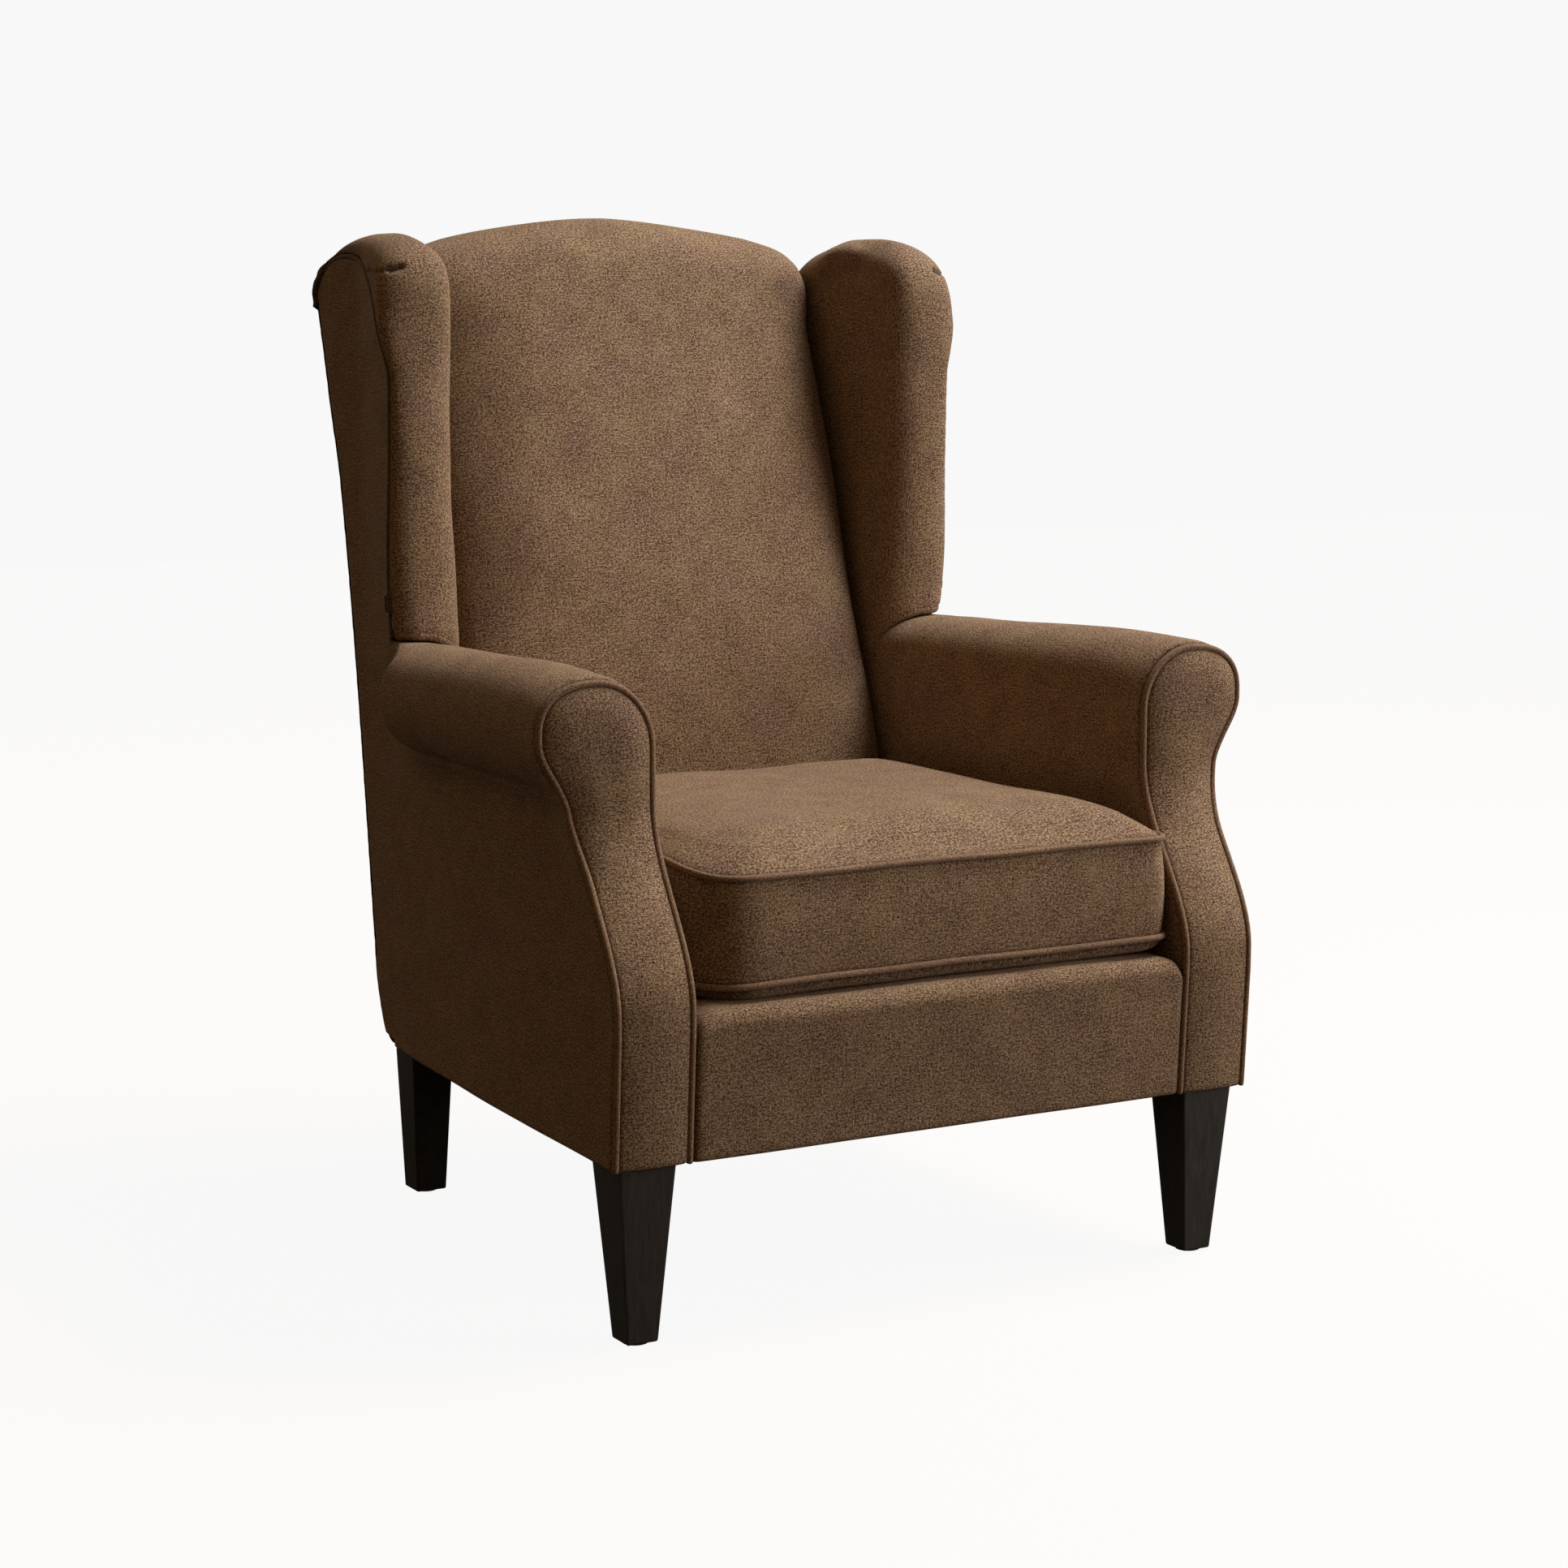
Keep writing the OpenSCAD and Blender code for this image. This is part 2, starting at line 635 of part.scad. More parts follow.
cloth_t = 1;
cloth_z = base_z + clear;
cloth_in = 14;
module dust_cover() color("black") placed() difference() {
    translate([0, 0, cloth_z])
        linear_extrude(cloth_t)
            polygon([[half_w - cloth_in, cloth_y0], [half_w - side_taper - cloth_in / 2, cloth_y1],
                [side_taper + cloth_in / 2 - half_w, cloth_y1], [cloth_in - half_w, cloth_y0]]);
    for (side = [-1, 1]) {
        translate([side * front_leg_x, front_leg_y, cloth_z - over])
            cylinder(d = bolt_d + 2 * over, h = cloth_t + 2 * over, $fn = 16);
        translate([side * rear_leg_x, rear_leg_y, cloth_z - over])
            cylinder(d = bolt_d + 2 * over, h = cloth_t + 2 * over, $fn = 16);
    }
}
cloth_y0 = tuck + pipe_seat + border_t;
cloth_y1 = rear_y - rear_round_y - frame_gap;

/* Covers and padding */
// Front border: rises from the body's lower edge and rolls over onto the platform
border_top_z = deck_top_z;
border_round = 16;
border_half_w = arm_in - clear;
border_cols = 8;
function border_point(s, d) = let (r = border_round - d, top = border_top_z - d)
    s < 0.5 ? [facing_y(mix(base_z, border_top_z - border_round, s * 2)) + pad_gap + d,
        mix(base_z, border_top_z - border_round, s * 2)]
    : s < 0.9 ? let (a = (s - 0.5) / 0.4 * 90) [pad_gap + d + r * (1 - cos(a)),
        border_top_z - border_round + r * sin(a)]
    : [mix(pad_gap + border_round, deck_y0 - clear, (s - 0.9) / 0.1), top];
border_shares = [0, 0.2, 0.4, 0.5, 0.6, 0.7, 0.8, 0.9, 1];
function border_grid(d) = [for (s = border_shares)
    [for (t = steps(border_cols)) let (p = border_point(s, d))
        [mix(-border_half_w, border_half_w, t), p[0], p[1]]]];
module front_border() color(fabric) placed()
    slab(border_grid(0), border_grid(border_t));

// Outside arm panels
low_cols = 7;
low_top_z = roll_z - roll_r - pad_gap;
side_rear_d = panel_t + seam_slack;
function side_rear(z) = z < base_z + side_rear_d
    ? rear_y - rear_round_y - edge_round - seam_slack : rear_inset(z, side_rear_d);
low_shares = [0, 0.035, 0.055, 0.09, 0.15, 0.24, 0.34, 0.45, 0.54, 0.64, 0.74, 0.84, 0.92, 1];
function low_grid(d) = [for (s = low_shares) let (z = mix(base_z, low_top_z, s))
    [for (t = steps(low_cols)) let (y = mix(arm_start(z), side_rear(z), t))
        [outer_x(y) - d, y, z]]];
module outside_arm(side) color(fabric) placed(side) slab(low_grid(0), low_grid(panel_t));
module left_outside_arm() outside_arm(-1);
module right_outside_arm() outside_arm(1);

// Outside wing panels: from under the roll's end up to the arched seam
high_cols = 5;
seam_gap = pipe_d + seam_slack;
high_z0 = low_top_z + clear;
high_z1 = wing_base_z;
arch_low = seam_shoulder_z;
arch_high = seam_top_z - seam_gap;
function arch_front(z) = z < arch_low ? seam_front_y + seam_gap
    : wing_top_y - (wing_top_y - seam_front_y - seam_gap)
        * sqrt(1 - pow(clamp((z - arch_low) / (arch_high - arch_low)), 2));
function arch_rear(z) = z < arch_high - seam_fall ? side_rear(z)
    : min(side_rear(z), mix(wing_top_y, wing_rear_y, pow((arch_high - z) / seam_fall, 1 / seam_power)));
arch_tip = 0.4;
high_heights = concat([for (s = [0, 0.5, 1]) mix(high_z0, high_z1, s)],
    [for (s = steps(6)) mix(high_z1 + clear, arch_low, s)],
    [for (a = [15, 30, 45, 60, 72]) mix(arch_low, arch_high, sin(a))], [arch_high - arch_tip]);
function high_front(z) = z <= high_z1 ? arm_end_y + clear : arch_front(z);
function high_grid(d) = [for (z = high_heights)
    [for (t = steps(high_cols)) let (y = mix(high_front(z), arch_rear(z), t))
        [outer_x(y, z) - d, y, z]]];
module outside_wing(side) color(fabric) placed(side) slab(high_grid(0), high_grid(panel_t));
module left_outside_wing() outside_wing(-1);
module right_outside_wing() outside_wing(1);

// Outside back: swelled, rounded under at its foot, its top edge along crest and wings
back_edge_x = half_w - side_taper;
edge_shares = [-1, -0.97, -0.86, -0.74, -0.6, -0.3, 0, 0.3, 0.6, 0.74, 0.86, 0.97, 1];
edge_round = 7;
edge_drop = 10;
wing_rear_top = wing_top_z - wing_fall - edge_drop;
function back_top(x) = abs(x) < crest_rail_arch ? crest_height(x) - rear_seam_drop
    : mix(crest_height(crest_rail_arch) - rear_seam_drop, wing_rear_top,
        ease((abs(x) - crest_rail_arch) / (back_edge_x - crest_rail_arch)));
foot_angles = [90, 72, 54, 36, 18];
rise_shares = [0, 0.12, 0.25, 0.4, 0.55, 0.7, 0.8, 0.9, 1];
function back_row(a, s, d) = [for (e = edge_shares) let (x = e * back_edge_x,
    swell = rear_swell * (1 - e * e) - (abs(e) == 1 ? edge_round : 0),
    z = a > 0 ? round_top_z - (rear_round_z - d) * sin(a) : mix(round_top_z, back_top(x), s),
    y = a > 0 ? rear_y - d - (rear_round_y - d) * (1 - cos(a)) : rear_line(z) - d)
    [x, y + (d > 0 ? 0 : swell), z]];
function outside_back_grid(d) = concat([for (a = foot_angles) back_row(a, 0, d)],
    [for (s = rise_shares) back_row(0, s, d)]);
module outside_back() color(fabric) placed()
    slab(outside_back_grid(panel_t), outside_back_grid(0));

// Inside back: swelled pad whose top rolls over the crest rail
pad_low_z = deck_top_z + clear;
pad_round = 42;
pad_back_gap = web_t + web_gap + frame_gap;
pad_shares = [-1, -0.88, -0.7, -0.47, -0.24, 0, 0.24, 0.47, 0.7, 0.88, 1];
pad_rise = [0, 0.14, 0.28, 0.42, 0.56, 0.7, 0.84, 1];
pad_turn = [22, 45, 68, 90];
pad_rear_drop = 4;
function pad_swell(e, z) = back_swell * (1 - e * e)
    * sin(180 * clamp((z - back_seat_z) / (crest_z - back_seat_z)));
function pad_top(e) = crest_height(e * crease_x(crest_side_z));
function pad_face(e) = concat(
    [for (s = pad_rise) let (z = mix(pad_low_z, pad_top(e) - pad_round, s))
        [e * (crease_x(z) - clear), back_y(z) - pad_swell(e, z), z]],
    [for (a = pad_turn) let (z = pad_top(e) - pad_round + pad_round * sin(a))
        [e * (crease_x(z) - clear), back_y(z) + pad_round * (1 - cos(a)) - pad_swell(e, z), z]],
    [let (z = pad_top(e) - pad_rear_drop)
        [e * (crease_x(crest_side_z) - clear), rear_line(z) - post_back - clear, z]]);
function pad_inner_y(z) = post_front_y(z) - pad_back_gap;
function pad_back(e) = let (roof = pad_top(e) - crest_rail_cover + 2 * clear) concat(
    [for (s = pad_rise) let (z = mix(pad_low_z, roof, s)) [e * (crease_x(z) - clear), pad_inner_y(z), z]],
    [for (s = [0.25, 0.5, 0.75, 1, 1.25]) let (z = roof)
        [e * (crease_x(z) - clear),
            mix(pad_inner_y(z), rear_line(z) - post_back - clear, s / 1.25), z]]);
function by_rows(cols) = [for (i = [0 : len(cols[0]) - 1]) [for (c = cols) c[i]]];
module inside_back() color(fabric) placed()
    slab(by_rows([for (e = pad_shares) pad_face(e)]), by_rows([for (e = pad_shares) pad_back(e)]));

// Arm padding: up the inner face, over the roll and round to the side panel
inner_shares = [0, 0.11, 0.2, 0.29, 0.38, 0.47, 0.56, 0.65, 0.77, 1];
over_angles = [150, 120, 90, 68, 46, 24, 2, -20, -42];
function end_angle(y) = -acos((outer_x(y) - roll_cx(y)) / roll_cr(y));
function rim(y, a, d) = let (x = roll_cx(y) + (roll_cr(y) - d) * cos(a), side = outer_x(y) - d)
    [x > side ? side + (x - side) * bulge(y) : x, roll_cz(y) + (roll_cr(y) - d) * sin(a)];
function inner_rim(y, a, d) = [roll_cx(y) + (roll_cx(y) - arm_x(y) - d) * cos(a),
    roll_cz(y) + (roll_cr(y) - d) * sin(a)];
function arm_section(y, d) = concat(
    [for (s = inner_shares) [arm_x(y) + d, mix(arm_low_z, roll_cz(y), s)]],
    [for (a = over_angles) a > 90 ? inner_rim(y, a, d) : rim(y, a, d)],
    [rim(y, end_angle(y), d)]);
function arm_start(z) = facing_y(z) + pipe_seat + seam_slack;
inner_count = len(inner_shares);
function arm_end(j) = j < inner_count ? arm_tail_y
    : mix(arm_tail_y, arm_end_y, clamp((j - inner_count + 1) / 2));
arm_station_shares = [0, 0.12, 0.28, 0.44, 0.58, 0.7, 0.78, 0.84, 0.89, 0.94, 1];
function arm_grid(d) = [for (s = arm_station_shares)
    [for (j = [0 : inner_count + len(over_angles)])
        let (z0 = arm_section(roll_start_y, d)[j][1],
            y = mix(arm_start(z0), arm_end(j), s),
            p = arm_section(y, d)[j])
        [p[0], y, p[1]]]];
module arm_pad(side) color(fabric) placed(side)
    slab(arm_grid(0), arm_grid(arm_pad_t));
module left_arm_pad() arm_pad(-1);
module right_arm_pad() arm_pad(1);

// Arm facings: padded fronts inside their piping
kink_x = roll_x + sqrt(roll_r * roll_r - (roll_z - kink_z) * (roll_z - kink_z));
function chord(z, d) = sqrt(max(0, (roll_r - d) * (roll_r - d) - (z - roll_z) * (z - roll_z)));
function facing_in(z, d) = z < roll_z ? arm_in + d : roll_x - chord(z, d);
function facing_out(z, d) = z < neck_z ? half_w - d
    : z < roll_z ? max(roll_x + chord(z, d),
        half_w - d + (kink_x - half_w) * pow((z - neck_z) / (kink_z - neck_z), 2))
    : roll_x + chord(z, d);
facing_inset = pipe_d + seam_slack;
facing_cols = 4;
face_low_shares = [0, 0.1, 0.22, 0.34, 0.4, 0.46, 0.52, 0.58, 0.64, 0.7, 0.77, 0.83, 0.87, 0.9, 0.95, 1];
face_angles = [15, 30, 45, 60, 74, 84];
function face_heights(d) = concat([for (s = face_low_shares) mix(base_z, roll_z, s)],
    [for (a = face_angles) roll_z + (roll_r - d) * sin(a)]);
function facing_grid(d, back) = [for (z = face_heights(d))
    [for (t = steps(facing_cols))
        let (e = 2 * t - 1, crown = facing_crown * (1 - e * e) * (1 - e * e))
        [mix(facing_in(z, d), facing_out(z, d), t), facing_y(z) + (back > 0 ? back : -crown), z]]];
module facing(side) color(fabric) placed(side)
    slab(facing_grid(facing_inset, 0), facing_grid(facing_inset, pipe_seat - clear));
module left_facing() facing(-1);
module right_facing() facing(1);

// Piping round each facing, up the inner edge, over the roll and down the outer edge
pipe_sides = 6;
pipe_up_shares = [0, 0.15, 0.3, 0.4, 0.48, 0.56, 0.64, 0.72, 0.8, 0.88, 0.94, 1];
pipe_round = [160, 140, 120, 100, 80, 60, 40, 20, 0, -20, -38];
pipe_down_shares = [1, 0.94, 0.88, 0.8, 0.72, 0.64, 0.56, 0.48, 0.4, 0.3, 0.15, 0];
pipe_in = pipe_d / 2;
function pipe_at(x, z) = [x, facing_y(z) + pipe_in + 2 * clear, z];
facing_pipe = concat(
    [for (s = pipe_up_shares) let (z = mix(base_z, roll_z, s)) pipe_at(arm_in + pipe_in, z)],
    [for (a = pipe_round)
        pipe_at(roll_x + (roll_r - pipe_in) * cos(a), roll_z + (roll_r - pipe_in) * sin(a))],
    [for (s = pipe_down_shares) let (z = mix(base_z, kink_z, s)) pipe_at(facing_out(z, pipe_in), z)]);
module facing_piping(side) color(trim) placed(side)
    loft(tube_rings(facing_pipe, [0, 1, 0], pipe_d, pipe_sides));
module left_facing_piping() facing_piping(-1);
module right_facing_piping() facing_piping(1);

// Wing padding: round the front and over the top of the board, and back to the crease
function wing_in(y, z) = crease_x(z) + clear + (wing_inner_w - crease_x(z) - clear)
    * clamp((back_y(z) - y) / (back_y(z) - wing_front_y));
ridge = wing_edge(0, 0);
seam = seam_edge(0);
tail = tail_edge();
last_v = len(ridge) - 1;
turn_out = [90, 60, 30];
turn_in = [0, 30, 60, 90];
face_shares = [0.33, 0.66, 1];
function wing_mid(i) = mix(wing_in(ridge[i][0], ridge[i][1]), outer_x(seam[i][0], seam[i][1]), mid_share);
function inward(i) = unit(tail[i] - ridge[i]);
turn_share = 0.8;
core_share = 0.72;
mid_share = 0.52;
function round_end(i) = ridge[i] + inward(i) * min(wing_round, turn_share * norm(tail[i] - ridge[i]));
function wing_outside(i) = let (xm = wing_mid(i), xo = outer_x(seam[i][0], seam[i][1]),
    e = round_end(i), xi = wing_in(e[0], e[1])) concat(
    [for (a = turn_out) let (p = ridge[i] + (seam[i] - ridge[i]) * (1 - cos(a)))
        [mix(xm, xo, sin(a)), p[0], p[1]]],
    [for (a = turn_in) let (p = ridge[i] + (e - ridge[i]) * (1 - cos(a)))
        [mix(xm, xi, sin(a)), p[0], p[1]]],
    [for (s = face_shares) let (p = mix(e, tail[i], s)) [wing_in(p[0], p[1]), p[0], p[1]]]);
board_skin = board_in - clear;
function core_depth(i) = min(wing_pad_front, core_share * norm(tail[i] - ridge[i]));
function wing_inside(i) = let (c = ridge[i] + inward(i) * core_depth(i),
    s0 = seam[i] + inward(i) * seam_slack, xo = board_out + 2 * clear) concat(
    [for (s = [0, 0.5, 1]) let (p = mix(s0, c, s)) [xo, p[0], p[1]]],
    [for (s = [0.25, 0.5, 0.75, 1]) [mix(xo, board_skin, s), c[0], c[1]]],
    [for (s = face_shares) let (p = mix(c, tail[i], s)) [board_skin, p[0], p[1]]]);
module wing_pad(side) color(fabric) placed(side)
    slab([for (i = [0 : last_v]) wing_inside(i)], [for (i = [0 : last_v]) wing_outside(i)]);
module left_wing_pad() wing_pad(-1);
module right_wing_pad() wing_pad(1);

// Piping along the wing's seam
pipe_line = seam_edge(seam_gap / 2 + clear);
pipe_end_share = 0.24;
pipe_end = mix(pipe_line[last_v], pipe_line[last_v - 1], pipe_end_share);
wing_pipe = [for (i = [0 : last_v]) let (p = i < last_v ? pipe_line[i] : pipe_end)
    [outer_x(p[0], p[1]) - pipe_in, p[0], p[1]]];
module wing_piping(side) color(trim) placed(side)
    loft(tube_rings(wing_pipe, [1, 0, 0], pipe_d, pipe_sides));
module left_wing_piping() wing_piping(-1);
module right_wing_piping() wing_piping(1);

/* Seat cushion */
cushion_gap = 1;
cushion_front = 16;
cushion_lean = 12;
front_corner = 40;
rear_corner = 24;
cushion_back_gap = 5;
corner_steps = 4;
side_steps = 4;
cushion_pull = 3;
function cushion_share(z) = (z - cushion_low_z) / (cushion_top_z - cushion_low_z);
function cushion_y0(z) = cushion_front + cushion_lean * clamp(cushion_share(z));
function cushion_y1(z) = back_y(mix(cushion_low_z, cushion_top_z, clamp(cushion_share(z))))
    - cushion_back_gap;
// Outline of the cushion at a height, drawn in by d, counter-clockwise from the front left
function corner_arc(cx, cy, r, a0) = [for (s = steps(corner_steps))
    [cx + r * cos(a0 + 90 * s), cy + r * sin(a0 + 90 * s)]];
function side_run(a, b, pull) = [for (s = steps(side_steps)) if (s > 0 && s < 1)
    mix(a, b, s) + pull * sin(180 * s)];
function cushion_outline(z, d) = let (
    y0 = cushion_y0(z) + d, y1 = cushion_y1(z) - d,
    xf = arm_x(y0) - cushion_gap - d, xr = arm_x(y1) - cushion_gap - d,
    rf = front_corner - d, rr = rear_corner - d,
    fl = corner_arc(rf - xf, y0 + rf, rf, 180), fr = corner_arc(xf - rf, y0 + rf, rf, 270),
    br = corner_arc(xr - rr, y1 - rr, rr, 0), bl = corner_arc(rr - xr, y1 - rr, rr, 90),
    n = corner_steps, pull = cushion_pull)
    concat(fl, side_run(fl[n], fr[0], [0, pull]), fr, side_run(fr[n], br[0], [-pull / 2, 0]),
        br, side_run(br[n], bl[0], [0, 0]), bl, side_run(bl[n], fl[0], [pull / 2, 0]));
function flat_ring(z, d) = [for (p = cushion_outline(z, d)) [p[0], p[1], z]];
cushion_mid = [0, (cushion_y0(cushion_top_z) + cushion_y1(cushion_top_z)) / 2];
// A ring of a crowned panel: the outline shrunk to a share of its size, at the crown's height
function crown_ring(z, h, power, s, d) = [for (p = cushion_outline(z, d))
    let (q = mix(cushion_mid, p, s)) [q[0], q[1], z + h * (1 - pow(s, power))]];
crown_power = 3.2;
under_power = 8;
crown_shares = [1, 0.93, 0.82, 0.64, 0.4, 0.06];
under_shares = [1, 0.96, 0.88, 0.74, 0.06];
seam_in = cushion_pipe_d / 2;
panel_in = cushion_pipe_d + clear;
core_gap = cover_t + clear;
function crown_rings(z, h, power, d) = [for (s = h > 0 ? crown_shares : under_shares)
    crown_ring(z, h, power, s, d)];
top_z = cushion_top_z + seam_in;
low_z = cushion_low_z - seam_in;
top_h = cushion_crown - seam_in;
low_h = cushion_under - seam_in;
module cushion_core() color("khaki") placed()
    loft(concat(
        backwards(crown_rings(low_z + core_gap, -low_h, under_power, panel_in + core_gap)),
        crown_rings(top_z - core_gap, top_h, crown_power, panel_in + core_gap)));
module cushion_top_panel() color(fabric) placed()
    loft(concat(backwards(crown_rings(top_z - cover_t, top_h, crown_power, panel_in)),
        crown_rings(top_z, top_h, crown_power, panel_in)));
module cushion_bottom_panel() color(fabric) placed()
    loft(concat(backwards(crown_rings(low_z, -low_h, under_power, panel_in)),
        crown_rings(low_z + cover_t, -low_h, under_power, panel_in)));
boxing_z0 = cushion_low_z + seam_in + clear;
boxing_z1 = cushion_top_z - seam_in - clear;
boxing_in = 4;
boxing_shares = [0, 0.33, 0.66, 1];
boxing_bulge = 3;
function boxing_ring(s, d) = flat_ring(mix(boxing_z0, boxing_z1, s),
    boxing_in - boxing_bulge * sin(180 * s) + d);
module cushion_boxing() color(fabric) placed()
    loft(concat([for (s = boxing_shares) boxing_ring(s, 0)],
        backwards([for (s = boxing_shares) boxing_ring(s, cover_t)])), wrap = true);
module piping_ring(z) color(trim) placed()
    loft(tube_rings(flat_ring(z, seam_in), [0, 0, 1], cushion_pipe_d, pipe_sides, true), wrap = true);
module cushion_top_piping() piping_ring(cushion_top_z);
module cushion_bottom_piping() piping_ring(cushion_low_z);

zip = [300, 1.5, 16];
zip_pull = [12, 2, 6];
module cushion_zip() color("black") placed() {
    z = mix(cushion_low_z, cushion_top_z, 0.5);
    lean = atan((cushion_y1(cushion_top_z) - cushion_y1(cushion_low_z)) / (cushion_top_z - cushion_low_z));
    translate([0, cushion_y1(z) - boxing_in + boxing_bulge + clear, z])
        rotate([-lean, 0, 0]) {
            translate([-zip[0] / 2, 0, -zip[2] / 2])
                cube(zip);
            translate([zip[0] / 2, 0, -zip_pull[2] / 2])
                cube(zip_pull);
        }
}

/* Legs and fittings */
leg_top_z = base_z;
function square_ring(x, y, z, w) = [[x - w / 2, y - w / 2, z], [x + w / 2, y - w / 2, z],
    [x + w / 2, y + w / 2, z], [x - w / 2, y + w / 2, z]];
module leg(x, y, top, foot, rake, tuck_in) difference() {
    loft([square_ring(x - tuck_in, y + rake, glide_t, foot), square_ring(x, y, leg_top_z, top)]);
    translate([x, y, leg_top_z - bolt_down])
        cylinder(d = bolt_d + 2 * clear, h = bolt_down + over, $fn = 24);
}
module front_leg(side) color([0.09, 0.07, 0.06]) placed(side)
    leg(front_leg_x, front_leg_y, front_leg_top, front_leg_foot, 0, 0);
module rear_leg(side) color([0.09, 0.07, 0.06]) placed(side)
    leg(rear_leg_x, rear_leg_y, rear_leg_top, rear_leg_foot, rear_rake, rear_tuck);
module front_left_leg() front_leg(-1);
module front_right_leg() front_leg(1);
module rear_left_leg() rear_leg(-1);
module rear_right_leg() rear_leg(1);

// Steel plates between the legs and the frame
plate_z = cloth_z + cloth_t + clear;
module at_legs() for (side = [-1, 1]) placed(side) {
    translate([front_leg_x, front_leg_y, 0])
        children(0);
    translate([rear_leg_x, rear_leg_y, 0])
        children(1);
}
plate_w = 32;
module leg_plate() translate([-plate_w / 2, -plate_w / 2, plate_z])
    difference() {
        cube([plate_w, plate_w, plate_t]);
        translate([plate_w / 2, plate_w / 2, -over])
            cylinder(d = bolt_d + 2 * clear, h = plate_t + 2 * over, $fn = 24);
    }
plate_t = frame_z - plate_z - clear;
module leg_plates() color("silver") at_legs() {
    leg_plate();
    leg_plate();
}
module leg_bolt() translate([0, 0, leg_top_z - bolt_down + clear])
    cylinder(d = bolt_d, h = frame_z + bolt_up - leg_top_z + bolt_down - 2 * clear, $fn = 24);
module leg_bolts() color("silver") at_legs() {
    leg_bolt();
    leg_bolt();
}
glide_d = 24;
module glide() cylinder(d = glide_d, h = glide_t, $fn = 32);
module glides() color("dimgray") at_legs() {
    glide();
    translate([-rear_tuck, rear_rake, 0])
        glide();
}

front_rail();
rear_rail();
left_side_rail();
right_side_rail();
corner_blocks();
left_arm_post();
right_arm_post();
left_arm_rail();
right_arm_rail();
left_roll_core();
right_roll_core();
left_back_post();
right_back_post();
back_lower_rail();
crest_rail();
left_wing_board();
right_wing_board();
seat_springs();
spring_clips();
back_webbing();
seat_deck();
dust_cover();
front_border();
left_outside_arm();
right_outside_arm();
left_outside_wing();
right_outside_wing();
outside_back();
inside_back();
left_arm_pad();
right_arm_pad();
left_facing();
right_facing();
left_facing_piping();
right_facing_piping();
left_wing_pad();
right_wing_pad();
left_wing_piping();
right_wing_piping();
cushion_core();
cushion_top_panel();
cushion_boxing();
cushion_bottom_panel();
cushion_top_piping();
cushion_bottom_piping();
cushion_zip();
front_left_leg();
front_right_leg();
rear_left_leg();
rear_right_leg();
leg_plates();
leg_bolts();
glides();
block_screws();
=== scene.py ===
# %% [markdown]
# # A wing-back fireside chair
# The chair is a timber frame dressed in brown cloth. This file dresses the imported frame: it
# works out each cover as a surface, gives it cloth, and sets up the light and the camera.
# Lengths are written in millimetres, as an upholsterer would measure them, and depth is
# counted from the front of the arm facings. The function in_metres turns them into Blender's
# metres.


# %% Load the frame
import math

import bmesh
import bpy
import numpy as np
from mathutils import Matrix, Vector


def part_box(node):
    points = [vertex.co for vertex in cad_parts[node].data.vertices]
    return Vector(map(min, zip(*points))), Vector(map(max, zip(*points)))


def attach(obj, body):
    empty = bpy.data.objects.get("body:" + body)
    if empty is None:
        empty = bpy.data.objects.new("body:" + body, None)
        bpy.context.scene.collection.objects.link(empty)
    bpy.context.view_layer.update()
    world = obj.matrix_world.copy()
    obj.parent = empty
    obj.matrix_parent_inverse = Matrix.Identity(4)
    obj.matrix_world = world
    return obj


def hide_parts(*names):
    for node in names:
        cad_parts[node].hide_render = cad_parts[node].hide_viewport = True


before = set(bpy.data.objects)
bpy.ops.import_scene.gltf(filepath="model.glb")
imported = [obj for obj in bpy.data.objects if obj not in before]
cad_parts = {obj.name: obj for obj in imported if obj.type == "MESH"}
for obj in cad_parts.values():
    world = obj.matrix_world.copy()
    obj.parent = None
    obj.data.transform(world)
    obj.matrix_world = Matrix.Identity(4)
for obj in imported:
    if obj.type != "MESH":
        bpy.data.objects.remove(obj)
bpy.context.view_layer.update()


# %% [markdown]
# ## The camera
# The photograph was taken with a long lens from the front left, a little above the arms.
# A long lens keeps the chair's lines nearly parallel, so its angle and distance are set
# first.


# %% Camera
camera_data = bpy.data.cameras.new("Studio camera")
camera_data.sensor_width = 36.0
camera_data.lens = 76.45
camera = bpy.data.objects.new("Studio camera", camera_data)
bpy.context.scene.collection.objects.link(camera)
camera.location = (-1.6598, -2.9948, 0.9377)
camera.rotation_euler = (math.radians(90 - 8.08), 0.0, math.radians(-29.69))
bpy.context.scene.camera = camera
print("camera lens", camera_data.lens, "mm")


# %% [markdown]
# ## Sizes that shape the covers
# The covers follow the same curves as the timber and the padding under them. The values
# here are the chair's own: half widths, heights and depths in millimetres.


# %% Body and arm sizes
HALF_W = 351.5
BASE_Z = 171.0
DECK_Z = 311.0
SIDE_TAPER = 38.0
TAPER_DEPTH = 650.0
ARM_IN = 271.5
ROLL_X = 332.0
ROLL_Z = 560.0
ROLL_R = 61.0
BULGE_FULL_Y = 475.0
BULGE_END_Y = 545.0


# %% Back and wing sizes
CREST_Z = 1038.0
CREST_R = 770.0
BACK_SEAT_Y = 520.0
BACK_SEAT_Z = 443.0
BACK_SLOPE = 0.273
REAR_Y = 652.0
ROUND_TOP_Z = 282.0
WING_FRONT_Y = 530.0
WING_BASE_Z = 606.5
WING_TOP_Z = 1019.0
WING_TOP_Y = 660.0
WING_REAR_Y = 775.0
WING_FALL = 59.0
SEAM_FRONT_Y = 543.0
WING_INNER = 268.0
REAR_HALF = HALF_W - SIDE_TAPER
CREST_HALF = 233.0
CREST_ROLL = 46.0
BACK_SWELL = 8.0
FOOT_ROUND_Y = 52.0
FOOT_ROUND_Z = ROUND_TOP_Z - BASE_Z


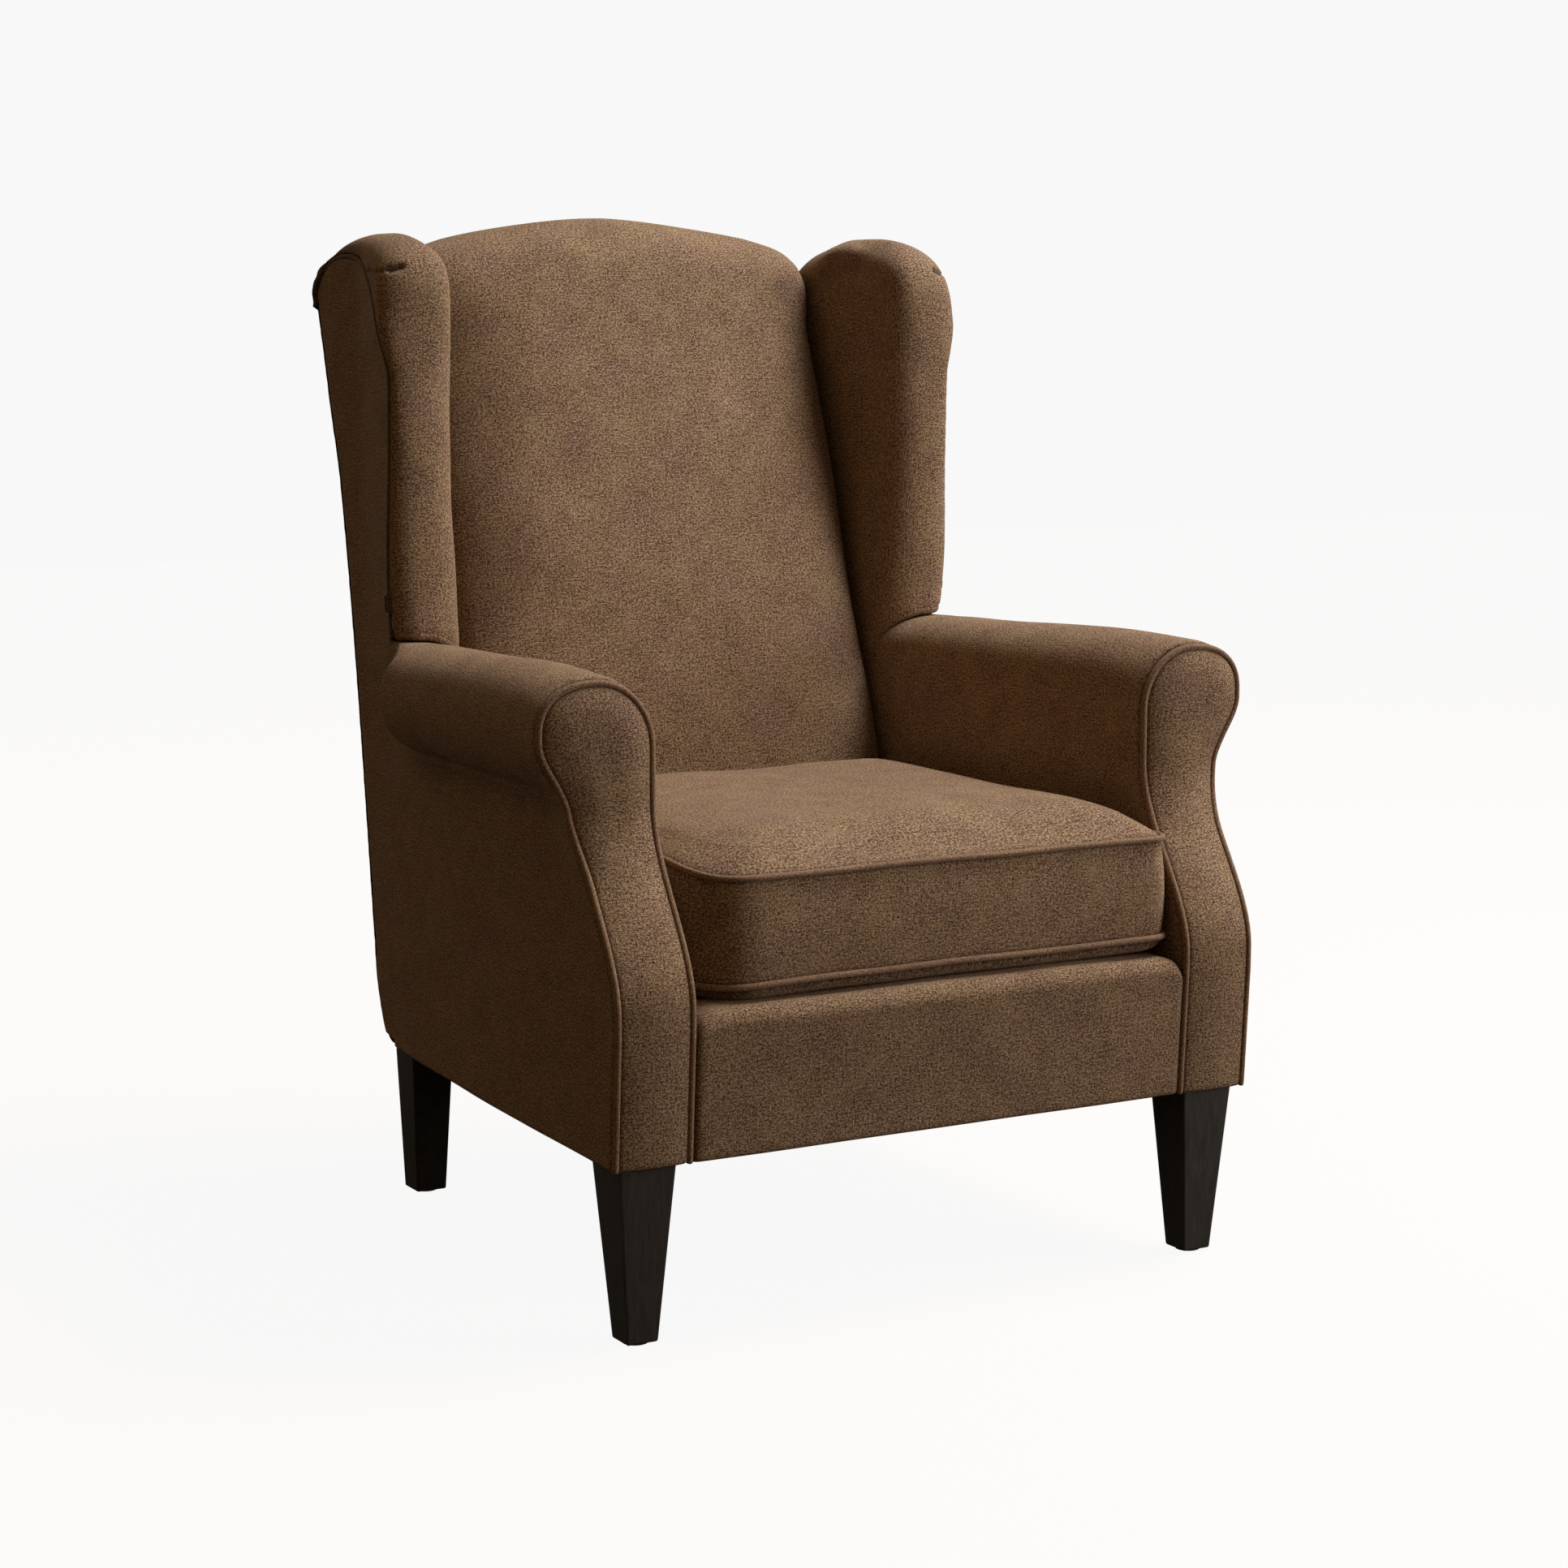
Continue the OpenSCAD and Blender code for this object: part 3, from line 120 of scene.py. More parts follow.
# %% [markdown]
# ## The curves of the chair
# Each curve is a small function of height or depth, so a whole grid of points can be asked
# for at once. The names say which line of the chair they draw.


# %% Curves of the arms
def clamp(v):
    """v kept between 0 and 1."""
    return np.clip(v, 0.0, 1.0)


def ease(t):
    """Smooth step from 0 to 1: three t squared less two t cubed."""
    t = clamp(t)
    return t * t * (3 - 2 * t)


def facing_y(z):
    """Depth of the arm's front edge: an S from the seat up to the roll, drawn in at the foot."""
    return 77.0 * ease((z - 314.0) / 180.0) + 7.6 * clamp((294.0 - z) / (294.0 - BASE_Z))


def arm_x(y):
    """Half width of the arm's inner face, which toes in towards the back."""
    return ARM_IN - 20.5 * clamp((y - 80.0) / 440.0)


def roll_x(y):
    """Half width of the roll's centre."""
    return ROLL_X - 14.0 * (y - 80.0) / 470.0


def roll_z(y):
    """Height of the roll's centre, which falls towards the back."""
    return ROLL_Z - 8.0 * (y - 80.0) / 470.0


def roll_r(y):
    """Radius of the roll, which shrinks towards the back."""
    return ROLL_R - 8.0 * (y - 80.0) / 470.0


def bulge(y):
    """How far the roll still stands out from the side: it eases away between two depths."""
    return 1 - ease((y - BULGE_FULL_Y) / (BULGE_END_Y - BULGE_FULL_Y))


def outer_x(y, z):
    """Half width of the side: a power curve in depth, flared outwards twice below the wing's top."""
    taper = SIDE_TAPER * clamp(y / TAPER_DEPTH) ** 1.6
    flare = 10.5 * np.sqrt(clamp((z - ROLL_Z) / 110.0)) - 2.0 * ease((z - 700.0) / 100.0)
    flare = flare + 9.5 * ease((z - 865.0) / 62.0)
    return HALF_W - taper + flare * clamp((TAPER_DEPTH + 20.0 - y) / (TAPER_DEPTH + 20.0 - SEAM_FRONT_Y))


# %% Curves of the back
def back_y(z):
    """Depth of the inside back where it meets the wings: a straight rake."""
    return BACK_SEAT_Y + BACK_SLOPE * (z - BACK_SEAT_Z)


def crease_x(z):
    """Half width of the inside back, pinched in towards the crest."""
    return 250.0 - 17.0 * clamp((z - 740.0) / 260.0) ** 1.3


def crest_height(x):
    """Height of the crest: an arc of a circle, a little flatter between the middle and the ends."""
    x = np.abs(x)
    arc = CREST_Z - CREST_R + np.sqrt(CREST_R**2 - x**2)
    return arc - 1.2 * np.sin(np.pi * clamp(x / 215.0)) - 3.0 * clamp((x - 170.0) / 50.0)


def rake_line(z):
    """Depth of the posts' rear edge: a straight rake, and a curve near the top."""
    rise = z - ROUND_TOP_Z
    return REAR_Y + 0.125 * rise + 61.0 * clamp(rise / (CREST_Z - ROUND_TOP_Z)) ** 3.5


def rear_line(z):
    """Depth of the outside back: the posts' rake and the padding over them."""
    padding = 1.5 + 6.0 * ease((z - 760.0) / 90.0) * ease((985.0 - z) / 30.0)
    return rake_line(z) + padding


# Half of the chair's whole depth, which is depth 0 in the frame: the back ends 5 below the crest.
MID_Y = (rake_line(CREST_Z - 5.0) + 3.0) / 2
print("middle depth", round(MID_Y, 2), "mm")


# %% [markdown]
# ## From grids to meshes
# Nearly every cover is a grid of points with rows and columns. These helpers find which way
# the grid faces, how long the cloth is along it, and turn it into a mesh whose UV map is
# the cloth laid flat, in metres, so the weave keeps its real size everywhere.


# %% Grid helpers
def side_to_side(count):
    """Shares from -1 to 1 in one row, closer together at both ends: a sine."""
    return np.sin(np.pi / 2 * np.linspace(-1, 1, count))[None, :]


def path_lengths(path):
    """Length along a path, from its first point to each of its points."""
    return np.concatenate([[0], np.linalg.norm(np.diff(path, axis=0), axis=1).cumsum()])


def even_steps(path, count, endpoint=True):
    """The same path with a number of points at even steps along it."""
    length = path_lengths(path)
    at = np.linspace(0, length[-1], count, endpoint=endpoint)
    return np.stack([np.interp(at, length, path[:, k]) for k in range(path.shape[1])], axis=1)


def grid_normals(grid, inside):
    """Unit normals of a grid of points, turned away from the point called inside."""
    normal = np.cross(np.gradient(grid, axis=1), np.gradient(grid, axis=0))
    normal /= np.maximum(np.linalg.norm(normal, axis=-1, keepdims=True), 1e-9)
    outward = np.sum(normal * (grid - inside))
    return normal if outward > 0 else -normal


def cloth_uv(grid):
    """Lengths along rows from the middle column, and up the columns, in metres."""
    across = np.linalg.norm(np.diff(grid, axis=1), axis=-1).cumsum(axis=1)
    across = np.pad(across, ((0, 0), (1, 0)))
    across = across - across[:, across.shape[1] // 2, None]
    up = np.linalg.norm(np.diff(grid, axis=0), axis=-1).cumsum(axis=0)
    up = np.pad(up, ((1, 0), (0, 0)))
    return np.stack([across, up], axis=-1) / 1000.0


def grid_quads(rows, cols, wrap=False):
    """The four point numbers of each cell, with the last column joined to the first if wrapped."""
    i, j = np.meshgrid(np.arange(rows - 1), np.arange(cols if wrap else cols - 1), indexing="ij")
    k = (j + 1) % cols
    return np.stack([i * cols + j, i * cols + k, (i + 1) * cols + k, (i + 1) * cols + j], -1).reshape(-1, 4)


# %% Making a mesh piece
def in_metres(points):
    """Points in millimetres as a list in metres, with the middle of the chair at depth 0."""
    return ((points - [0.0, MID_Y, 0.0]) / 1000.0).tolist()


def make_piece(name, points, quads, corner_uv, shade, inside):
    """Mesh from points in millimetres, with faces turned away from the point called inside."""
    a, b, c, d = (points[quads[:, k]] for k in range(4))
    facing = np.sum(np.cross(c - a, d - b) * ((a + b + c + d) / 4 - inside))
    if facing < 0:
        quads = quads[:, ::-1]
        corner_uv = corner_uv[:, ::-1]
    mesh = bpy.data.meshes.new(name)
    mesh.from_pydata(in_metres(points), [], quads.tolist())
    layer = mesh.uv_layers.new(name="Cloth")
    layer.uv.foreach_set("vector", np.ascontiguousarray(corner_uv, np.float32).ravel())
    # The seam attribute carries painted shade: how far the cloth's colour is darkened in seams and creases,
    # where shadow falls.
    seam = mesh.attributes.new("seam", "FLOAT", "POINT")
    seam.data.foreach_set("value", np.ascontiguousarray(shade, np.float32).ravel())
    mesh.shade_smooth()
    mesh.validate()
    piece = bpy.data.objects.new(name, mesh)
    bpy.context.scene.collection.objects.link(piece)
    return piece


def add_wall(piece, thickness):
    """Solidify modifier that gives a cover its thickness, inwards, in millimetres."""
    wall = piece.modifiers.new("Wall", "SOLIDIFY")
    wall.thickness = thickness / 1000.0
    wall.offset = -1.0
    wall.use_rim = True
    return piece


def cover(name, grid, inside, shade=None, wall=3.0, wrap=False):
    """One cover made of one grid, with its own wall thickness in millimetres."""
    rows, cols = grid.shape[:2]
    whole = np.concatenate([grid, grid[:, :1]], axis=1) if wrap else grid
    uv = cloth_uv(whole).reshape(-1, 2)
    corner_uv = uv[grid_quads(rows, whole.shape[1])]
    shade = np.zeros((rows, cols)) if shade is None else shade
    piece = make_piece(name, grid.reshape(-1, 3), grid_quads(rows, cols, wrap), corner_uv, shade, inside)
    return add_wall(piece, wall) if wall else piece


def mirrored(points, side):
    """The points, with left and right swapped for side -1."""
    return points * np.array([side, 1.0, 1.0])


def finish_piece(piece, material, body, slot, *nodes):
    """Gives a piece its material, the body that carries it and the frame parts it stands for."""
    piece.data.materials.clear()
    piece.data.materials.append(material)
    if nodes:
        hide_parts(*nodes)
    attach(piece, body)
    return piece


def finish_pad(piece, body, *nodes):
    """Finishes a padded piece in the chair's own cloth."""
    finish_piece(piece, cover_cloth, body, "cover_fabric", *nodes)


# %% [markdown]
# ## How cloth meets a seam
# Cloth that is pulled over padding dives into its seams, and it is never perfectly even.
# Three small functions add that: a round dive near an edge, slow waves over the surface,
# and short puckers that fade away from the seam. A fourth gives the painted shade of the seam: how much the
# cloth's colour is darkened where shadow falls in the fold.


# %% Seam helpers
def dive(distance, reach, depth):
    """Depth below the surface at a distance from a seam: a quarter circle that ends at reach."""
    t = 1 - clamp(distance / reach)
    return depth * (1 - np.sqrt(1 - t * t))


def waves(uv, seed, length, height):
    """Sum of eight plane waves in random directions: length is the mean wavelength in mm."""
    dice = np.random.default_rng(seed)
    total = np.zeros(uv.shape[:-1])
    for _ in range(8):
        angle, phase = dice.uniform(0, 2 * np.pi, 2)
        number = 2 * np.pi * 1000.0 / (length * dice.uniform(0.7, 1.5))
        total += np.sin(number * (uv[..., 0] * np.cos(angle) + uv[..., 1] * np.sin(angle)) + phase)
    return height * total / 3.0


def puckers(along, distance, seed, height=0.35, reach=14.0, length=15.0):
    """Ripples along a seam, fading with the distance from it; along is in millimetres."""
    dice = np.random.default_rng(seed)
    phase = dice.uniform(0, 2 * np.pi, 3)
    total = sum(np.sin(2 * np.pi * along / (length * k) + p) for k, p in zip((1.0, 1.37, 2.3), phase))
    return height * total / 1.8 * np.exp(-np.maximum(distance, 0) / reach)


def seam_shade(distance, reach=5.0):
    """1 at the seam itself, fading to 0: painted shade, the shadow in the fold darkened into the cloth's
    colour.
    """
    return np.exp(-np.maximum(distance, 0) / reach)


# %% [markdown]
# ## Letting the cloth settle
# Padding pushes its cover outwards, and the seams hold it. A cloth simulation finds the shape
# between the two. It runs on a coarse copy of a cover's grid with its seams pinned, a light
# pressure and no gravity, and the small movement it finds is then added to the fine grid.


# %% Cloth simulation
SETTLE_FRAMES = 20
SETTLE_PRESSURE = 4.0
INNER_RINGS = 6
ROUNDS_ALONG = 24
ROUNDS_ACROSS = 3


def simulate(rings):
    """Where the points of coarse rings go when pressure blows the cloth out, in millimetres."""
    mesh = bpy.data.meshes.new("Settling cloth")
    mesh.from_pydata(in_metres(rings.reshape(-1, 3)), [], grid_quads(*rings.shape[:2], wrap=True).tolist())
    settling = bpy.data.objects.new("Settling cloth", mesh)
    bpy.context.scene.collection.objects.link(settling)
    seams = settling.vertex_groups.new(name="Seams")
    seams.add(list(range(rings.shape[1])), 1.0, "REPLACE")
    cloth = settling.modifiers.new("Cloth", "CLOTH")
    cloth.settings.vertex_group_mass = "Seams"
    cloth.settings.use_pressure = True
    cloth.settings.uniform_pressure_force = SETTLE_PRESSURE
    cloth.settings.effector_weights.gravity = 0.0
    cloth.settings.shrink_min = -0.01
    cloth.settings.bending_stiffness = 2.0
    cloth.point_cache.frame_start = 1
    cloth.point_cache.frame_end = SETTLE_FRAMES
    for frame_number in range(1, SETTLE_FRAMES + 1):
        bpy.context.scene.frame_set(frame_number)
    result = settling.evaluated_get(bpy.context.evaluated_depsgraph_get()).to_mesh()
    place = np.empty(rings.size)
    result.vertices.foreach_get("co", place)
    bpy.data.objects.remove(settling)
    bpy.context.scene.frame_set(1)
    return place.reshape(rings.shape) * 1000.0 + [0.0, MID_Y, 0.0]


def settle(name, rings, step, cap):
    """Rings round a panel moved as the simulation says, no point by more than the cap.

    The outer ring is held by its seam. The movement is averaged with its neighbours, so that
    small wrinkles fade. Close to the middle the rings are too small for the simulation, so
    there the mean movement of the last ring that took part is used.
    """
    rows, cols = rings.shape[:2]
    i, j = np.arange(0, rows - INNER_RINGS, step), np.arange(0, cols, step)
    coarse = rings[np.ix_(i, j)]
    moved = simulate(coarse) - coarse
    for _ in range(ROUNDS_ALONG):
        moved = moved / 2 + (np.roll(moved, 1, axis=1) + np.roll(moved, -1, axis=1)) / 4
    for _ in range(ROUNDS_ACROSS):
        moved[1:-1] = moved[1:-1] / 2 + (moved[:-2] + moved[2:]) / 4
    moved *= np.minimum(1.0, cap / np.maximum(np.linalg.norm(moved, axis=-1, keepdims=True), 1e-6))
    most, rise = float(np.linalg.norm(moved, axis=-1).max()), float(moved[..., 2].mean())
    print(name, "settled by up to", round(most, 1), "mm, upwards by", round(rise, 1), "mm on average")
    middle = np.broadcast_to(moved[-1:].mean(axis=1, keepdims=True), moved[-1:].shape)
    moved = np.concatenate([moved, middle])
    moved = np.concatenate([moved, moved[:, :1]], axis=1)
    i, j = np.append(i, rows - 1), np.append(j, cols)
    wide = np.stack([[np.interp(np.arange(cols), j, row[:, k]) for k in range(3)] for row in moved])
    fine = [[np.interp(np.arange(rows), i, wide[:, k, c]) for k in range(3)] for c in range(cols)]
    return rings + np.array(fine).transpose(2, 0, 1)


# %% [markdown]
# ## The cloth
# The chair is covered in a brown cloth with a fine, slightly hairy weave: light and dark
# threads show as specks about two millimetres apart. The pattern is a node group, so that
# the covers and the piping can share it with their own colours and thread sizes.


# %% Node helpers
def socket(tree, node, name, value):
    """Links an output into a node's input, or sets the input to a plain value."""
    if isinstance(value, bpy.types.NodeSocket):
        tree.links.new(value, node.inputs[name])
    elif value is not None:
        node.inputs[name].default_value = value


def math_node(tree, operation, a, b=None, clamp_it=False):
    """A Math node's result, from outputs or plain numbers."""
    node = tree.nodes.new("ShaderNodeMath")
    node.operation = operation
    node.use_clamp = clamp_it
    socket(tree, node, 0, a)
    if b is not None:
        socket(tree, node, 1, b)
    return node.outputs[0]


def noise_node(tree, vector, scale, detail=2.0, rough=0.5):
    """A noise value from 0 to 1 on the given coordinates."""
    node = tree.nodes.new("ShaderNodeTexNoise")
    tree.links.new(vector, node.inputs["Vector"])
    node.inputs["Scale"].default_value = scale
    node.inputs["Detail"].default_value = detail
    node.inputs["Roughness"].default_value = rough
    return node.outputs["Fac"]


def mix_colour(tree, share, a, b):
    """A colour between a and b."""
    node = tree.nodes.new("ShaderNodeMix")
    node.data_type = "RGBA"
    socket(tree, node, 0, share)
    socket(tree, node, 6, a)
    socket(tree, node, 7, b)
    return node.outputs[2]


def centred(tree, value, middle, gain, clamp_it=False):
    """The value less its middle, times a gain."""
    return math_node(tree, "MULTIPLY", math_node(tree, "SUBTRACT", value, middle), gain, clamp_it)


def weighted(tree, a, share_a, b, share_b):
    """Two values, each times its share, added up."""
    first = math_node(tree, "MULTIPLY", a, share_a)
    return math_node(tree, "ADD", first, math_node(tree, "MULTIPLY", b, share_b))


def ranged(tree, value, span, start):
    """The value times a span, plus a start."""
    return math_node(tree, "ADD", math_node(tree, "MULTIPLY", value, span), start)


def stretched(tree, vector, x, y, z=1.0):
    """The coordinates multiplied by x, y and z."""
    node = tree.nodes.new("ShaderNodeVectorMath")
    node.operation = "MULTIPLY"
    tree.links.new(vector, node.inputs[0])
    node.inputs[1].default_value = (x, y, z)
    return node.outputs[0]


# %% Group and material helpers
def new_group(name, inputs):
    """A shader group with the given inputs and their values, and three outputs."""
    tree = bpy.data.node_groups.new(name, "ShaderNodeTree")
    for label, value in inputs.items():
        kind = "NodeSocketFloat" if isinstance(value, float) else "NodeSocketColor"
        tree.interface.new_socket(label, in_out="INPUT", socket_type=kind).default_value = value
    results = {"Colour": "NodeSocketColor", "Height": "NodeSocketFloat", "Roughness": "NodeSocketFloat"}
    for label, kind in results.items():
        tree.interface.new_socket(label, in_out="OUTPUT", socket_type=kind)
    return tree, tree.nodes.new("NodeGroupInput")


def end_group(tree, colour, height, rough):
    """Links a group's colour, height and roughness to its outputs."""
    result = tree.nodes.new("NodeGroupOutput")
    tree.links.new(colour, result.inputs["Colour"])
    tree.links.new(height, result.inputs["Height"])
    tree.links.new(rough, result.inputs["Roughness"])
    return tree


def new_material(name):
    """A new material, its tree of nodes and its Principled shader."""
    material = bpy.data.materials.new(name)
    material.use_nodes = True
    return material, material.node_tree, material.node_tree.nodes["Principled BSDF"]


def add_bump(tree, shader, height, strength, distance):
    """Bump from a height, with its distance in metres."""
    bumps = tree.nodes.new("ShaderNodeBump")
    bumps.inputs["Strength"].default_value = strength
    bumps.inputs["Distance"].default_value = distance
    tree.links.new(height, bumps.inputs["Height"])
    tree.links.new(bumps.outputs["Normal"], shader.inputs["Normal"])


def place_group(tree, shader, source, values):
    """A node group placed in a material with its own values, its roughness linked to the shader."""
    group = tree.nodes.new("ShaderNodeGroup")
    group.node_tree = source
    for label, value in values.items():
        group.inputs[label].default_value = value
    tree.links.new(group.outputs["Roughness"], shader.inputs["Roughness"])
    return group


# %% Weave group
def build_weave():
    """Node group: threads of a plain weave with slubs, specks and slow changes of shade."""
    tree, given = new_group("Speckled weave", {
        "Threads per metre": 560.0,
        "Contrast": 1.0,
        "Dark": (0.05, 0.03, 0.02, 1.0),
        "Middle": (0.15, 0.10, 0.06, 1.0),
        "Light": (0.30, 0.21, 0.14, 1.0),
        "Tint": (0.15, 0.10, 0.06, 1.0),
    })
    uv = tree.nodes.new("ShaderNodeUVMap")
    uv.uv_map = "Cloth"
    place = uv.outputs["UV"]
    wander = noise_node(tree, place, 90.0, 2.0)
    bend = centred(tree, wander, 0.5, 0.004)
    shift = tree.nodes.new("ShaderNodeVectorMath")
    shift.operation = "ADD"
    tree.links.new(place, shift.inputs[0])
    tree.links.new(bend, shift.inputs[1])
    split = tree.nodes.new("ShaderNodeSeparateXYZ")
    tree.links.new(shift.outputs[0], split.inputs[0])
    turns = math_node(tree, "MULTIPLY", given.outputs["Threads per metre"], math.pi)
    warp = math_node(tree, "SINE", math_node(tree, "MULTIPLY", split.outputs["X"], turns))
    weft = math_node(tree, "SINE", math_node(tree, "MULTIPLY", split.outputs["Y"], turns))
    lump = math_node(tree, "ABSOLUTE", math_node(tree, "MULTIPLY", warp, weft))
    across = noise_node(tree, stretched(tree, place, 380.0, 660.0), 1.0, 1.2, 0.6)
    along = noise_node(tree, stretched(tree, place, 680.0, 400.0), 1.0, 1.2, 0.6)
    speck = weighted(tree, across, 0.62, along, 0.38)
    slub_a = noise_node(tree, stretched(tree, place, 60.0, 520.0), 1.0, 1.0)
    slub_b = noise_node(tree, stretched(tree, place, 520.0, 60.0), 1.0, 1.0)
    patch = noise_node(tree, place, 26.0, 2.0)
    mixed = weighted(tree, slub_a, 0.6, slub_b, 0.4)
    thread = math_node(tree, "ADD", centred(tree, speck, 0.5, 8.0), centred(tree, mixed, 0.5, 2.0))
    thread = math_node(tree, "ADD", thread, centred(tree, lump, 0.4, 0.5))
    thread = math_node(tree, "ADD", thread, centred(tree, patch, 0.5, 0.7))
    thread = math_node(tree, "MULTIPLY", thread, given.outputs["Contrast"])
    light = math_node(tree, "MAXIMUM", thread, 0.0, True)
    dark = math_node(tree, "MAXIMUM", math_node(tree, "MULTIPLY", thread, -1.0), 0.0, True)
    slow = noise_node(tree, place, 16.0, 2.0)
    share = centred(tree, slow, 0.40, 3.0, True)
    middle = mix_colour(tree, share, given.outputs["Middle"], given.outputs["Tint"])
    colour = mix_colour(tree, light, middle, given.outputs["Light"])
    colour = mix_colour(tree, dark, colour, given.outputs["Dark"])
    height = weighted(tree, lump, 0.35, speck, 0.65)
    return end_group(tree, colour, height, ranged(tree, speck, 0.15, 0.80))


weave = build_weave()
print("weave group has", len(weave.nodes), "nodes")


# %% Cloth materials
def rgb(r, g, b):
    """Blender's linear colour of a colour written as 0 to 255 on a screen."""
    def straight(v):
        v /= 255.0
        return v / 12.92 if v <= 0.04045 else ((v + 0.055) / 1.055) ** 2.4
    return (straight(r), straight(g), straight(b), 1.0)


def cloth_material(name, colours, threads, contrast=1.0, bump=0.6, painted_shade_strength=0.85):
    """Cloth: the weave group in four colours, with painted shade darkening it in its seams, and a soft
    sheen.
    """
    material, tree, shader = new_material(name)
    values = {label: rgb(*colour) for label, colour in zip(("Dark", "Middle", "Light", "Tint"), colours)}
    values.update({"Threads per metre": threads, "Contrast": contrast})
    group = place_group(tree, shader, weave, values)
    # Painted shade: the seam attribute mixes the weave towards near black where shadow falls in seams and
    # creases.
    held = tree.nodes.new("ShaderNodeAttribute")
    held.attribute_name = "seam"
    share = math_node(tree, "MULTIPLY", held.outputs["Fac"], painted_shade_strength, True)
    colour = mix_colour(tree, share, group.outputs["Colour"], (0.006, 0.004, 0.003, 1.0))
    tree.links.new(colour, shader.inputs["Base Color"])
    add_bump(tree, shader, group.outputs["Height"], bump, 0.001)
    shader.inputs["Specular IOR Level"].default_value = 0.10
    shader.inputs["Sheen Weight"].default_value = 0.08
    shader.inputs["Sheen Roughness"].default_value = 0.5
    shader.inputs["Sheen Tint"].default_value = (0.75, 0.58, 0.42, 1.0)
    return material


BROWN = ((76, 54, 39), (141, 115, 88), (188, 162, 134), (133, 102, 91))
cover_cloth = cloth_material("Brown cover cloth", BROWN, 560.0)
piping_cloth = cloth_material("Brown piping cloth", BROWN, 700.0, 0.5, 0.4)
DULL_BROWN = ((58, 44, 32), (92, 74, 57), (120, 98, 76), (90, 72, 58))
platform_cloth = cloth_material("Platform cloth", DULL_BROWN, 420.0, 0.6)
print("cloth materials made")


# %% [markdown]
# ## Arm facings
# The facing is the padded front of an arm. It fills the outline inside its piping: straight
# up the inner edge, round the roll, and back into the neck. It is drawn as rows of points
# between the inner and the outer edge, with a low crown that dives into the piping's seam.


# %% Outline of the facing
INNER_Z = 545.0
ROLL_TOP = 609.5
ROLL_N = 2.35


def squared(t, n):
    """Height of a squarer quarter circle: the n-th root of one less t to the power n."""
    return (1 - clamp(t) ** n) ** (1 / n)


def facing_in(z, d):
    """Inner edge drawn in by d: straight, then a quarter ellipse up to the top of the roll."""
    t = clamp((z - INNER_Z) / (ROLL_TOP - INNER_Z - d))
    return ROLL_X - (ROLL_X - ARM_IN - d) * np.sqrt(1 - t * t)


def neck_x(z):
    """Outer edge below the roll: two smooth steps outwards, one long and one short."""
    return 353.3 + 12.0 * ease((z - 420.0) / 90.0) + 26.5 * ease((z - 488.0) / 66.0)


def facing_out(z, d):
    """Outer edge drawn in by d: the neck, then a quarter ellipse up to the top of the roll."""
    slope = (neck_x(z + 0.5) - neck_x(z - 0.5)) * (z < ROLL_Z - 2)
    t = clamp((z - ROLL_Z) / (ROLL_TOP - ROLL_Z - d))
    round_x = ROLL_X + (neck_x(ROLL_Z) - ROLL_X - d) * squared(t, ROLL_N)
    return np.where(z < ROLL_Z, neck_x(z) - d * np.sqrt(1 + slope**2), round_x)


def outline_distance(x, z):
    """Distance of each point of a grid from the grid's own sides and top."""
    ring = np.concatenate([np.stack([x[:, 0], z[:, 0]], -1), np.stack([x[-1], z[-1]], -1),
                           np.stack([x[:, -1], z[:, -1]], -1)])
    return np.hypot(x[..., None] - ring[:, 0], z[..., None] - ring[:, 1]).min(axis=-1)


def facing_grid(d=4.5, crown=9.0):
    """Rows from the foot to the top of the roll, columns from the inner to the outer edge."""
    low = np.linspace(BASE_Z, INNER_Z, 150)
    high = INNER_Z + (ROLL_TOP - INNER_Z - d) * np.sin(np.radians(np.linspace(0, 89.7, 70)[1:]))
    z = np.concatenate([low, high])[:, None]
    t = 0.5 - 0.5 * np.cos(np.pi * np.linspace(0, 1, 51))[None, :]
    x = facing_in(z, d) + (facing_out(z, d) - facing_in(z, d)) * t
    z = z + 0 * x
    edge = outline_distance(x, z)
    swell = crown * (0.45 + 0.55 * ease((z - 330.0) / 150.0)) * (1 - (1 - clamp(edge / 38.0)) ** 2.2)
    fold = dive(z - BASE_Z, 6.0, 4.0)
    y = facing_y(z) - swell + dive(edge, 5.0, 4.0) + fold + 3.0
    return np.stack([x, y, z], axis=-1), edge


def make_facings():
    """Both facings, mirrored copies of one grid."""
    grid, edge = facing_grid()
    uv = cloth_uv(grid)
    grid[..., 1] -= waves(uv, 11, 110.0, 0.5) * clamp(edge / 12.0)
    for side, name in ((-1, "left"), (1, "right")):
        piece = cover(name + "_arm_facing", mirrored(grid, side), np.array([side * 311.0, 300.0, 400.0]),
                      seam_shade(edge, 2.2), wall=2.0)
        finish_pad(piece, "chair", name + "_facing")


make_facings()
print("arm facings made")


# %% [markdown]
# ## Piping
# Piping is a cord in a strip of the cover cloth, sewn into the seam so that it stands proud.
# Here it is a tube carried along a path: at each point a circle is drawn square to the path.
# A strip cut on the cross turns the weave by 45 degrees, and the UV map does the same.


# %% Tube along a path
PIPE_STEP = 2.5
PIPE_SIDES = 14
CROSS_CUT = 1414.0


def close_tube(piece):
    """Welds the caps' points together and turns the faces outwards."""
    shape = bmesh.new()
    shape.from_mesh(piece.data)
    bmesh.ops.remove_doubles(shape, verts=shape.verts, dist=1e-6)
    bmesh.ops.recalc_face_normals(shape, faces=shape.faces)
    shape.to_mesh(piece.data)
    shape.free()
    return piece


